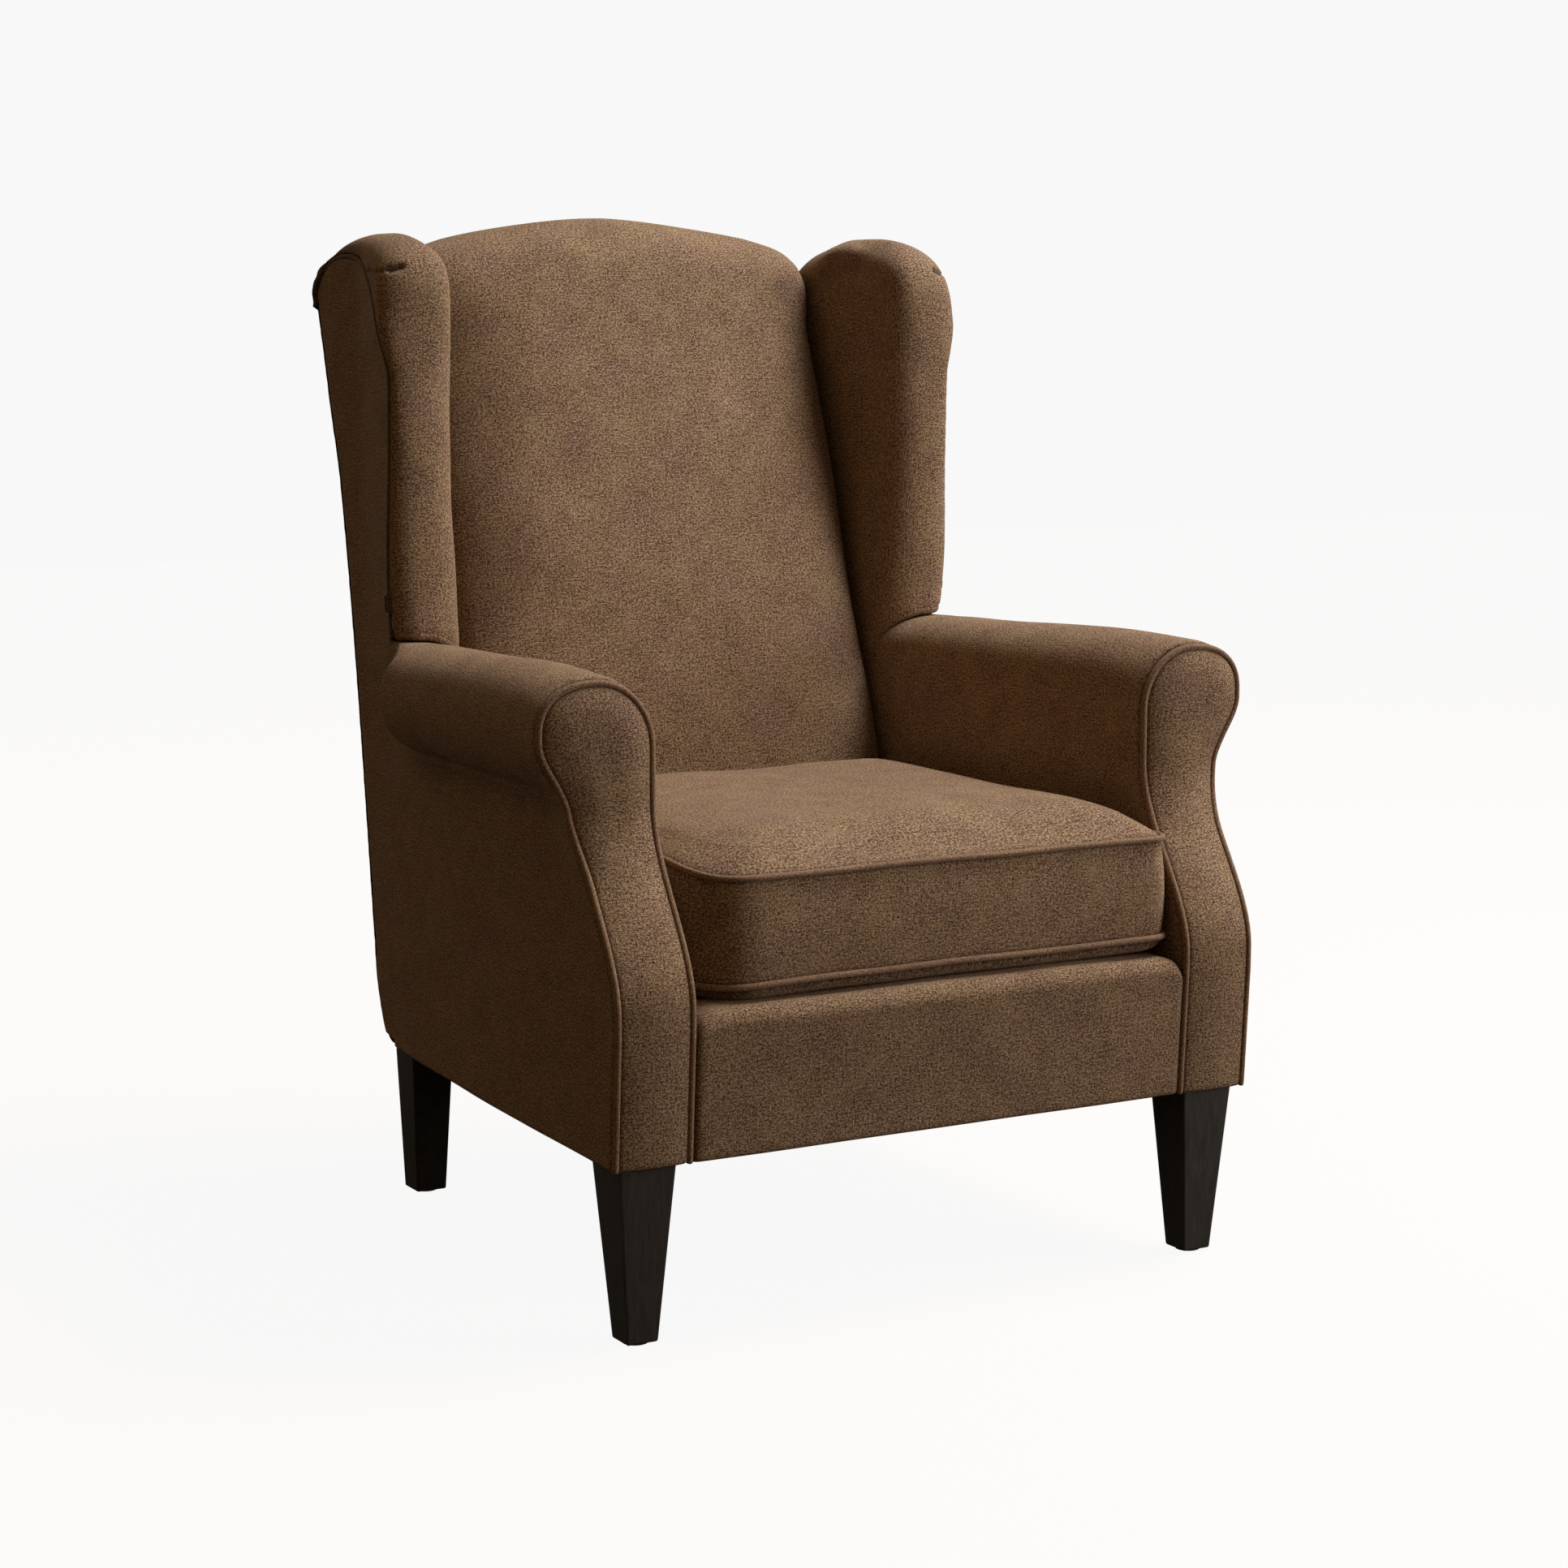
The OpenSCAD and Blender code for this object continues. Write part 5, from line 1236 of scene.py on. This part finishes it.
def make_inside_back():
    """The inside back's cover."""
    grid, side = inside_back_grid()
    inside = np.array([0.0, 680.0, 700.0])
    normal = grid_normals(grid, inside)
    uv = cloth_uv(grid)
    over = clamp((grid[..., 1] - 640.0) / 90.0) * clamp((grid[..., 2] - 940.0) / 30.0)
    lift = waves(uv, 51, 170.0, 1.0) * clamp(side / 30.0)
    lift += puckers(uv[..., 1] * 1000.0, side, 52, 0.3)
    face = ease((1000.0 - grid[..., 2]) / 90.0)
    face = face * (0.45 + 0.55 * ease((grid[..., 2] - 480.0) / 180.0))
    lift -= dive(side, 22.0, 9.0) + face * dive(side, 110.0, 30.0) + over * dive(side, 30.0, 10.0)
    grid = tucked(grid + normal * lift[..., None], normal)
    # Painted shade: the cloth is darkened in its seams and, by up to 0.36, over a band beside the creases
    # where the wings shade the face.
    shade = np.maximum(seam_shade(side, 4.0), 0.36 * face * np.exp(-((side / 56.0) ** 2)))
    shade = np.pad(shade, ((0, 0), (TUCK_COLUMNS, TUCK_COLUMNS)), mode="edge")
    piece = cover("inside_back_cover", grid, inside, shade)
    finish_pad(piece, "chair", "inside_back")


make_inside_back()
print("inside back made")


# %% [markdown]
# ## The outside back
# The outside back is a thinner cover, pulled tight. It bows out a little, follows the rake
# of the posts, and turns under at its foot. Its edges are hand-sewn to the sides.


# %% Outside back
BACK_CORNER_Z = 955.0


def back_top(x):
    """Height of the outside back's upper edge: the crest's arc, easing down behind the wings."""
    x = np.abs(x)
    arc = crest_height(np.minimum(x, 230.0)) - 5.0 - 4.0 * clamp(x / 230.0)
    return arc + (BACK_CORNER_Z - arc) * ease((x - 225.0) / (REAR_HALF - 235.0))


def outside_back_grid():
    """Rows round the foot and up the back, columns from side to side."""
    e = side_to_side(101)
    x = e * REAR_HALF
    a = np.radians(np.linspace(90, 0, 26))[:-1, None]
    s = np.linspace(0, 1, 130)[:, None]
    swell = BACK_SWELL * (1 - e * e)
    z1 = ROUND_TOP_Z - FOOT_ROUND_Z * np.sin(a) + 0 * e
    y1 = REAR_Y - FOOT_ROUND_Y * (1 - np.cos(a)) + swell
    z2 = ROUND_TOP_Z + (back_top(x) - ROUND_TOP_Z) * s
    y2 = rear_line(z2) + swell
    y, z = np.concatenate([y1, y2]), np.concatenate([z1, z2])
    side = REAR_HALF * (1 - np.abs(e)) + 0 * z
    return np.stack([x + 0 * z, y, z], axis=-1), side


def make_outside_back():
    """The outside back's cover."""
    grid, side = outside_back_grid()
    inside = np.array([0.0, 600.0, 600.0])
    normal = grid_normals(grid, inside)
    uv = cloth_uv(grid)
    top = back_top(grid[..., 0]) - grid[..., 2]
    edge = np.minimum(side, top)
    lift = waves(uv, 61, 200.0, 1.0) * clamp(edge / 30.0) + puckers(uv[..., 1] * 1000.0, side, 62, 0.3)
    lift -= dive(edge, 8.0, 3.0)
    grid = grid + normal * lift[..., None]
    piece = cover("outside_back_cover", grid, inside, seam_shade(edge, 2.5))
    finish_piece(piece, cover_cloth, "chair", "cover_fabric", "outside_back")


make_outside_back()
print("outside back made")


# %% [markdown]
# ## The front border
# Below the seat cushion a padded border closes the front. It rises from the lower edge and
# rolls over onto the platform, and its upper corners round down beside the arms.


# %% Front border
def border_grid():
    """Rows from the lower edge up the front, round the top edge and back onto the platform."""
    x = side_to_side(121) * (ARM_IN - 0.3)
    r = 16.0
    z1 = np.linspace(BASE_Z, DECK_Z - r, 60)[:, None]
    y1 = facing_y(z1) + 1.0
    a = np.radians(np.linspace(0, 90, 26))[1:, None]
    z2 = DECK_Z - r + r * np.sin(a)
    y2 = 1.0 + r * (1 - np.cos(a))
    y3 = np.linspace(17.0, 60.0, 16)[1:, None]
    y = np.concatenate([y1, y2, y3]) + 0 * x
    z = np.concatenate([z1, z2, DECK_Z + 0 * y3]) + 0 * x
    side = ARM_IN - 0.3 - np.abs(x) + 0 * z
    return np.stack([x + 0 * z, y, z], axis=-1), side


def make_border():
    """The border's cover."""
    grid, side = border_grid()
    inside = np.array([0.0, 60.0, 230.0])
    normal = grid_normals(grid, inside)
    uv = cloth_uv(grid)
    upper = clamp((grid[..., 2] - 262.0) / 40.0)
    drop = upper * dive(side, 26.0, 15.0)
    lift = waves(uv, 71, 140.0, 0.7) * clamp(side / 20.0)
    lift -= dive(side, 9.0, 5.0) + dive(grid[..., 2] - BASE_Z, 6.0, 3.5)
    grid = grid + normal * lift[..., None]
    grid[..., 2] -= drop
    piece = cover("front_border_cover", grid, inside, seam_shade(side, 3.0))
    finish_pad(piece, "chair", "front_border")


make_border()
print("front border made")


# %% [markdown]
# ## The seat cushion
# The loose cushion is a box cushion: a top and a bottom panel, a band round the side, and
# piping in both seams. Its outline is a rounded rectangle that narrows to the back. The
# panels are rings of that outline that shrink towards the middle while they rise.


# %% Outline of the cushion
CUSHION_TOP_Z = 426.0
CUSHION_LOW_Z = 328.0
CUSHION_POINTS = 360
UPPER_SEED = 91
LOWER_SEED = 92


def cushion_outline(z, d):
    """Points round the cushion at a height, drawn in by d, starting at the front left."""
    share = clamp((z - CUSHION_LOW_Z) / (CUSHION_TOP_Z - CUSHION_LOW_Z))
    y0 = 16.0 + 4.0 * share + d
    y1 = back_y(CUSHION_LOW_Z + (CUSHION_TOP_Z - CUSHION_LOW_Z) * share) - 5.0 - d
    xf, xr = arm_x(y0) - 1.0 - d, arm_x(y1) - 1.0 - d
    a = np.radians(np.linspace(0, 90, 24))
    arcs = []
    for sx, sy, r, start in ((-1, -1, 72.0, 180), (1, -1, 26.0, 270), (1, 1, 24.0, 0), (-1, 1, 24.0, 90)):
        r, wide, deep = r - d, xf if sy < 0 else xr, y0 if sy < 0 else y1
        t = a + math.radians(start)
        arcs.append(np.stack([sx * (wide - r) + r * np.cos(t), deep - sy * r + r * np.sin(t)], axis=1))
    path = np.concatenate(arcs + [arcs[0][:1]])
    ring = even_steps(path, CUSHION_POINTS, endpoint=False)
    pull = np.where(ring[:, 1] < y0 + 3.0, 3.0 * (1 - (ring[:, 0] / (xf - 30.0)) ** 2), 0.0)
    ring[:, 1] += np.maximum(pull, 0.0)
    ring[:, 0] += 14.0 * (1 - ease((ring[:, 1] - 60.0) / 240.0)) * clamp((-ring[:, 0] - 120.0) / 140.0)
    return ring


def seam_waver(ring, seed):
    """Rise of a seam off its level: a slow tilt, small waves, and a rise behind the left corner."""
    back = ring[..., 1]
    climb = 13.0 * ease((back - 26.0) / 75.0) * (1 - ease((back - 130.0) / 200.0)) * (seed == UPPER_SEED)
    sink = 2.5 * (1 - ease((back - 20.0) / 60.0)) * (seed == LOWER_SEED)
    left = clamp((-ring[..., 0] - 190.0) / 50.0)
    return 1.2 * ring[..., 0] / 260.0 + waves(ring / 1000.0, seed, 150.0, 0.45) + (climb - sink) * left


def crowned(z, d, seed, height_at):
    """Rings from the seam to the middle: the outline shrinks and height_at gives the rise."""
    s = np.concatenate([1 - 0.12 * np.linspace(0, 1, 26)[:-1], np.linspace(0.88, 0.0, 50)])[:, None, None]
    ring = cushion_outline(z, d)[None]
    middle = np.array([0.0, (26.0 + back_y(CUSHION_TOP_Z) - 5.0) / 2])
    flat_points = middle + (ring - middle) * s
    near = (1 - s[..., 0]) * 250.0 + 0 * ring[..., 0]
    waver = seam_waver(ring, seed) * np.clip(1 - near / 60.0, 0.0, 1.0)
    height = z + height_at(s[..., 0], near) + waver
    return np.concatenate([flat_points, height[..., None]], axis=-1), near


# %% Cushion panels
def make_cushion():
    """Top panel, band and bottom panel, each dipping into the piping's seams."""
    middle = np.array([0.0, 270.0, 380.0])
    top, near = crowned(CUSHION_TOP_Z + 1.0, 4.0, UPPER_SEED, lambda s, n: 33.0 * (1 - s**7.0))
    uv = top[..., :2] / 1000.0
    top[..., 2] += waves(uv, 81, 150.0, 1.0) * clamp(near / 40.0) - dive(near, 6.0, 3.0)
    top = settle("cushion top", top, 4, 6.0)
    low, near_low = crowned(CUSHION_LOW_Z - 1.0, 4.0, LOWER_SEED, lambda s, n: dive(n, 17.0, 14.5) - 14.5)
    heights = np.linspace(CUSHION_LOW_Z + 0.5, CUSHION_TOP_Z - 0.5, 44)
    t = (heights - heights[0]) / (heights[-1] - heights[0])
    edge = np.minimum(t, 1 - t) * 100.0
    draw = 4.5 - 3.5 * np.sin(np.pi * t) + dive(edge, 6.0, 2.5)
    rings = [cushion_outline(z, d) for z, d in zip(heights, draw)]
    lifts = [seam_waver(r, UPPER_SEED) * k + seam_waver(r, LOWER_SEED) * (1 - k) for r, k in zip(rings, t)]
    band = np.stack([np.column_stack([r, z + w]) for r, z, w in zip(rings, heights, lifts)])
    shade = seam_shade(edge, 2.5)[:, None] + np.zeros((1, CUSHION_POINTS))
    return (panel("cushion_top", top, middle, seam_shade(near, 2.5)),
            cover("cushion_band", band, middle, shade, wall=2.5, wrap=True),
            panel("cushion_bottom", low, middle, seam_shade(near_low, 2.5)))


def panel(name, rings, inside, shade):
    """Crowned panel from rings, with its cloth laid straight across it."""
    rows, cols = rings.shape[:2]
    points = np.concatenate([rings[:-1].reshape(-1, 3), rings[-1].mean(axis=0, keepdims=True)])
    quads = grid_quads(rows - 1, cols, wrap=True)
    first = (rows - 2) * cols
    step = np.arange(0, cols, 2)
    centre = np.full_like(step, len(points) - 1)
    fan = np.stack([first + step, first + step + 1, first + (step + 2) % cols, centre], axis=1)
    quads = np.concatenate([quads, fan])
    uv = points[:, :2][quads] / 1000.0
    flat_shade = np.append(shade[:-1].ravel(), 0.0)
    return add_wall(make_piece(name, points, quads, uv, flat_shade, inside), 2.5)


top_panel, band_panel, low_panel = make_cushion()
finish_pad(top_panel, "seat_cushion", "cushion_top_panel", "cushion_core")
finish_pad(band_panel, "seat_cushion", "cushion_boxing")
finish_pad(low_panel, "seat_cushion", "cushion_bottom_panel")
print("cushion panels made")


# %% Cushion piping
for name, node, z, seed in (("cushion_upper_welt", "cushion_top_piping", CUSHION_TOP_Z, UPPER_SEED),
                            ("cushion_lower_welt", "cushion_bottom_piping", CUSHION_LOW_Z, LOWER_SEED)):
    outline = cushion_outline(z, 2.6)
    ring = np.column_stack([outline, z + seam_waver(outline, seed)])
    pipe = tube(name, ring, (0, 0, 1), 3.1, closed=True)
    finish_piece(pipe, piping_cloth, "seat_cushion", "piping_fabric", node)
print("cushion piping made")


# %% [markdown]
# ## Platform and dust cover
# Under the cushion lies a platform in a plainer cloth. Under the chair a thin black cloth is
# stapled to the frame. Both are nearly flat, but a real one is never quite flat, so each gets
# a soft swell.


# %% Platform
def platform_grid():
    """Rows from the border to the back, columns from arm to arm."""
    y = np.linspace(60.5, 590.0, 110)[:, None]
    e = side_to_side(91)
    x = e * (arm_x(y) - 0.8)
    side = (arm_x(y) - 0.8) * (1 - np.abs(e))
    z = DECK_Z - dive(side, 10.0, 8.0) + 0 * x
    return np.stack([x, y + 0 * x, z], axis=-1), side


grid, side_distance = platform_grid()
platform = cover("platform_cover", grid, np.array([0.0, 300.0, 200.0]), seam_shade(side_distance, 4.0))
finish_piece(platform, platform_cloth, "chair", "platform_fabric", "seat_deck")
print("platform made")


# %% Dust cover
def dust_grid():
    """Rows from front to back, columns across, with a shallow sag between its stapled edges."""
    low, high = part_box("dust_cover")
    y = np.linspace(low[1], high[1], 60)[:, None] * 1000.0 + MID_Y
    e = np.linspace(-1, 1, 61)[None, :]
    t = (y - y[0]) / (y[-1] - y[0])
    half = HALF_W - 14.0 - (SIDE_TAPER - 7.0) * t
    sag = 2.0 * (1 - e**4) * np.sin(np.pi * t) ** 0.5
    z = low[2] * 1000.0 + 0.6 - sag
    return np.stack([e * half, y + 0 * e, z], axis=-1)


grid = dust_grid()
dust_cover = cover("dust_cover_cloth", grid, np.array([0.0, 300.0, 400.0]), wall=0.8)


# %% [markdown]
# ## Wood, metal and plastic
# The legs are stained so dark that the grain only shows as faint upright streaks. The frame
# inside is bare timber. Steel and plastic parts get fine wear in place of a flat colour.


# %% Timber group
def build_grain():
    """Node group: streaks along Z from stretched noise, as a colour between two stains."""
    tree, given = new_group("Timber grain", {
        "Dark": (0.01, 0.008, 0.006, 1.0),
        "Light": (0.03, 0.024, 0.02, 1.0),
    })
    place = stretched(tree, tree.nodes.new("ShaderNodeTexCoord").outputs["Object"], 1.0, 1.0, 0.05)
    streak = noise_node(tree, place, 420.0, 4.0, 0.6)
    broad = noise_node(tree, place, 60.0, 2.0)
    share = centred(tree, weighted(tree, streak, 0.7, broad, 0.3), 0.32, 2.6, True)
    colour = mix_colour(tree, share, given.outputs["Dark"], given.outputs["Light"])
    return end_group(tree, colour, streak, ranged(tree, streak, 0.2, 0.30))


grain = build_grain()


def timber_material(name, dark, light, coat):
    """Timber: the grain group, with a coat for the stained legs."""
    material, tree, shader = new_material(name)
    group = place_group(tree, shader, grain, {"Dark": dark, "Light": light})
    tree.links.new(group.outputs["Colour"], shader.inputs["Base Color"])
    add_bump(tree, shader, group.outputs["Height"], 0.25, 0.0003)
    shader.inputs["Coat Weight"].default_value = coat
    shader.inputs["Coat Roughness"].default_value = 0.35
    return material


leg_stain = timber_material("Espresso leg timber", rgb(32, 29, 25), rgb(56, 50, 43), 0.2)
frame_timber = timber_material("Bare frame timber", rgb(170, 130, 85), rgb(205, 165, 115), 0.0)
print("timber made")


# %% Plain technical materials
def plain_material(name, low, high, scale, roughness, metallic=0.0):
    """Plastic, steel or thin cloth: two near colours mixed by fine noise, with a little bump."""
    material, tree, shader = new_material(name)
    place = tree.nodes.new("ShaderNodeTexCoord").outputs["Object"]
    fine = noise_node(tree, place, scale, 3.0, 0.6)
    tree.links.new(mix_colour(tree, fine, low, high), shader.inputs["Base Color"])
    tree.links.new(ranged(tree, fine, 0.2, roughness - 0.1), shader.inputs["Roughness"])
    add_bump(tree, shader, fine, 0.2, 0.0002)
    shader.inputs["Metallic"].default_value = metallic
    return material


steel = plain_material("Plated steel", rgb(150, 150, 150), rgb(190, 190, 188), 300.0, 0.35, 1.0)
plastic = plain_material("Black plastic", rgb(28, 27, 26), rgb(44, 42, 40), 400.0, 0.5)
dust_cloth = plain_material("Black dust cloth", rgb(22, 22, 22), rgb(46, 46, 46), 900.0, 0.9)
webbing = plain_material("Elastic webbing", rgb(50, 44, 38), rgb(90, 80, 66), 700.0, 0.85)
finish_piece(dust_cover, dust_cloth, "chair", "underside_cloth", "dust_cover")
print("technical materials made")


# %% [markdown]
# ## Legs
# Each leg is a square post that tapers to the floor, with its edges eased. The front pair
# stands upright, and the rear pair rakes back and in.


# %% Legs
LEG_ROWS = 12
GLIDE_Z = 2.0


def leg(name, x, y, top, foot, rake, tuck):
    """Tapered square leg between two squares, with eased edges."""
    corners = np.array([[-1, -1], [1, -1], [1, 1], [-1, 1]], float) / 2
    t = np.linspace(0, 1, LEG_ROWS)
    width = foot + (top - foot) * t
    cx, cy = x - tuck * (1 - t), y + rake * (1 - t)
    z = GLIDE_Z + (BASE_Z - GLIDE_Z) * t
    rings = np.stack([np.column_stack([cx[i] + width[i] * corners[:, 0], cy[i] + width[i] * corners[:, 1],
                                       np.full(4, z[i])]) for i in range(LEG_ROWS)])
    points = rings.reshape(-1, 3)
    upper = 4 * (LEG_ROWS - 1) + np.arange(4)
    quads = np.concatenate([grid_quads(LEG_ROWS, 4, wrap=True), [[3, 2, 1, 0]], [upper]])
    uv = np.zeros((len(quads), 4, 2))
    piece = make_piece(name, points, quads, uv, np.zeros(len(points)), points.mean(axis=0))
    piece.data.shade_flat()
    bevel = piece.modifiers.new("Eased edges", "BEVEL")
    bevel.width = 0.0022
    bevel.segments = 3
    bevel.limit_method = "ANGLE"
    bevel.angle_limit = math.radians(40)
    bevel.harden_normals = True
    return piece


LEG_PLACES = {"front_left_leg": (-1, 313.5, 47.0, 58.0, 32.0, 0.0, 0.0),
              "front_right_leg": (1, 313.5, 47.0, 58.0, 32.0, 0.0, 0.0)}
rear_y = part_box("rear_right_leg")[0][1] * 1000.0 + MID_Y + 23.0
for name in ("rear_left_leg", "rear_right_leg"):
    LEG_PLACES[name] = (-1 if "left" in name else 1, 291.5, rear_y, 46.0, 34.0, 67.0, 28.0)
for name, (side, x, y, top, foot, rake, tuck) in LEG_PLACES.items():
    piece = leg(name + "_timber", side * x, y, top, foot, rake, side * tuck)
    finish_piece(piece, leg_stain, "chair", "leg_timber", name)
print("legs made, rear leg at depth", round(rear_y, 1))


# %% Materials for the parts inside the covers
FINISHES = {"back_webbing": webbing, "glides": plastic, "cushion_zip": plastic}
for name in ("seat_springs", "spring_clips", "leg_plates", "leg_bolts", "block_screws"):
    FINISHES[name] = steel
for name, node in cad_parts.items():
    if node.hide_render:
        continue
    for place in node.material_slots:
        place.material = FINISHES.get(name, frame_timber)
print("frame parts finished")


# %% [markdown]
# ## Light, floor and backdrop
# The photograph has one soft main light from the upper right, a weak fill and a nearly white
# ground. The lamps light the chair at a plain level. The pale ground is the colour that the
# camera alone sees, so it adds no light to the chair.


# %% Lamps
LAMP_SIZE = 1.6
LAMP_TARGET = (0.0, 0.0, 0.5)


def lamp(name, place, power, colour):
    """Square area light at a place in metres, turned to the middle of the chair."""
    data = bpy.data.lights.new(name, "AREA")
    data.size = LAMP_SIZE
    data.energy = power
    data.color = colour
    light = bpy.data.objects.new(name, data)
    bpy.context.scene.collection.objects.link(light)
    light.location = place
    way = np.array(LAMP_TARGET) - np.array(place)
    tilt = math.acos(-way[2] / np.linalg.norm(way))
    light.rotation_euler = (tilt, 0.0, math.atan2(way[1], way[0]) - math.pi / 2)


lamp("Overhead softbox", (2.0, -0.4, 3.9), 152.0, (1.0, 0.985, 0.96))
lamp("Right side softbox", (2.55, -1.95, 0.9), 46.0, (1.0, 0.97, 0.93))
print("lamps set")


# %% World and floor
def camera_share(tree):
    """1 for rays from the camera, mirrors and glass, 0 for light that falls on the chair."""
    path = tree.nodes.new("ShaderNodeLightPath")
    seen = math_node(tree, "ADD", path.outputs["Is Camera Ray"], path.outputs["Is Glossy Ray"])
    return math_node(tree, "ADD", seen, path.outputs["Is Transmission Ray"], True)


world = bpy.data.worlds.new("Studio")
bpy.context.scene.world = world
world.use_nodes = True
tree = world.node_tree
ground = tree.nodes["Background"]
shown = camera_share(tree)
FILL_LIGHT = (0.15, 0.095, 0.04, 1.0)
PALE_GROUND = (0.94, 0.94, 0.94, 1.0)
tree.links.new(mix_colour(tree, shown, FILL_LIGHT, PALE_GROUND), ground.inputs["Color"])
ground.inputs["Strength"].default_value = 1.0

floor_mesh = bpy.data.meshes.new("Studio floor")
floor_mesh.from_pydata([(-9, -9, 0), (9, -9, 0), (9, 9, 0), (-9, 9, 0)], [], [(0, 1, 2, 3)])
floor = bpy.data.objects.new("Studio floor", floor_mesh)
bpy.context.scene.collection.objects.link(floor)
floor_paint, tree, shader = new_material("Pale floor")
shader.inputs["Base Color"].default_value = (0.06, 0.043, 0.028, 1.0)
shader.inputs["Roughness"].default_value = 0.9
shader.inputs["Specular IOR Level"].default_value = 0.0
place = tree.nodes.new("ShaderNodeTexCoord").outputs["Object"]
far = tree.nodes.new("ShaderNodeVectorMath")
far.operation = "LENGTH"
tree.links.new(place, far.inputs[0])
squares = math_node(tree, "POWER", math_node(tree, "MULTIPLY", far.outputs["Value"], 0.42), 2.0)
spread = math_node(tree, "ADD", squares, 1.0)
lit = math_node(tree, "DIVIDE", 0.015, math_node(tree, "POWER", spread, 2.0))
glow = tree.nodes.new("ShaderNodeEmission")
glow.inputs["Color"].default_value = (1.0, 1.0, 1.0, 1.0)
path = tree.nodes.new("ShaderNodeLightPath")
level = math_node(tree, "MULTIPLY", path.outputs["Is Camera Ray"], math_node(tree, "SUBTRACT", 0.941, lit))
tree.links.new(level, glow.inputs["Strength"])
both = tree.nodes.new("ShaderNodeAddShader")
tree.links.new(shader.outputs[0], both.inputs[0])
tree.links.new(glow.outputs[0], both.inputs[1])
tree.links.new(both.outputs[0], tree.nodes["Material Output"].inputs["Surface"])
floor_mesh.materials.append(floor_paint)
bpy.context.scene.view_settings.view_transform = "Standard"
print("floor and world set")


# %% Update the scene
bpy.context.view_layer.update()
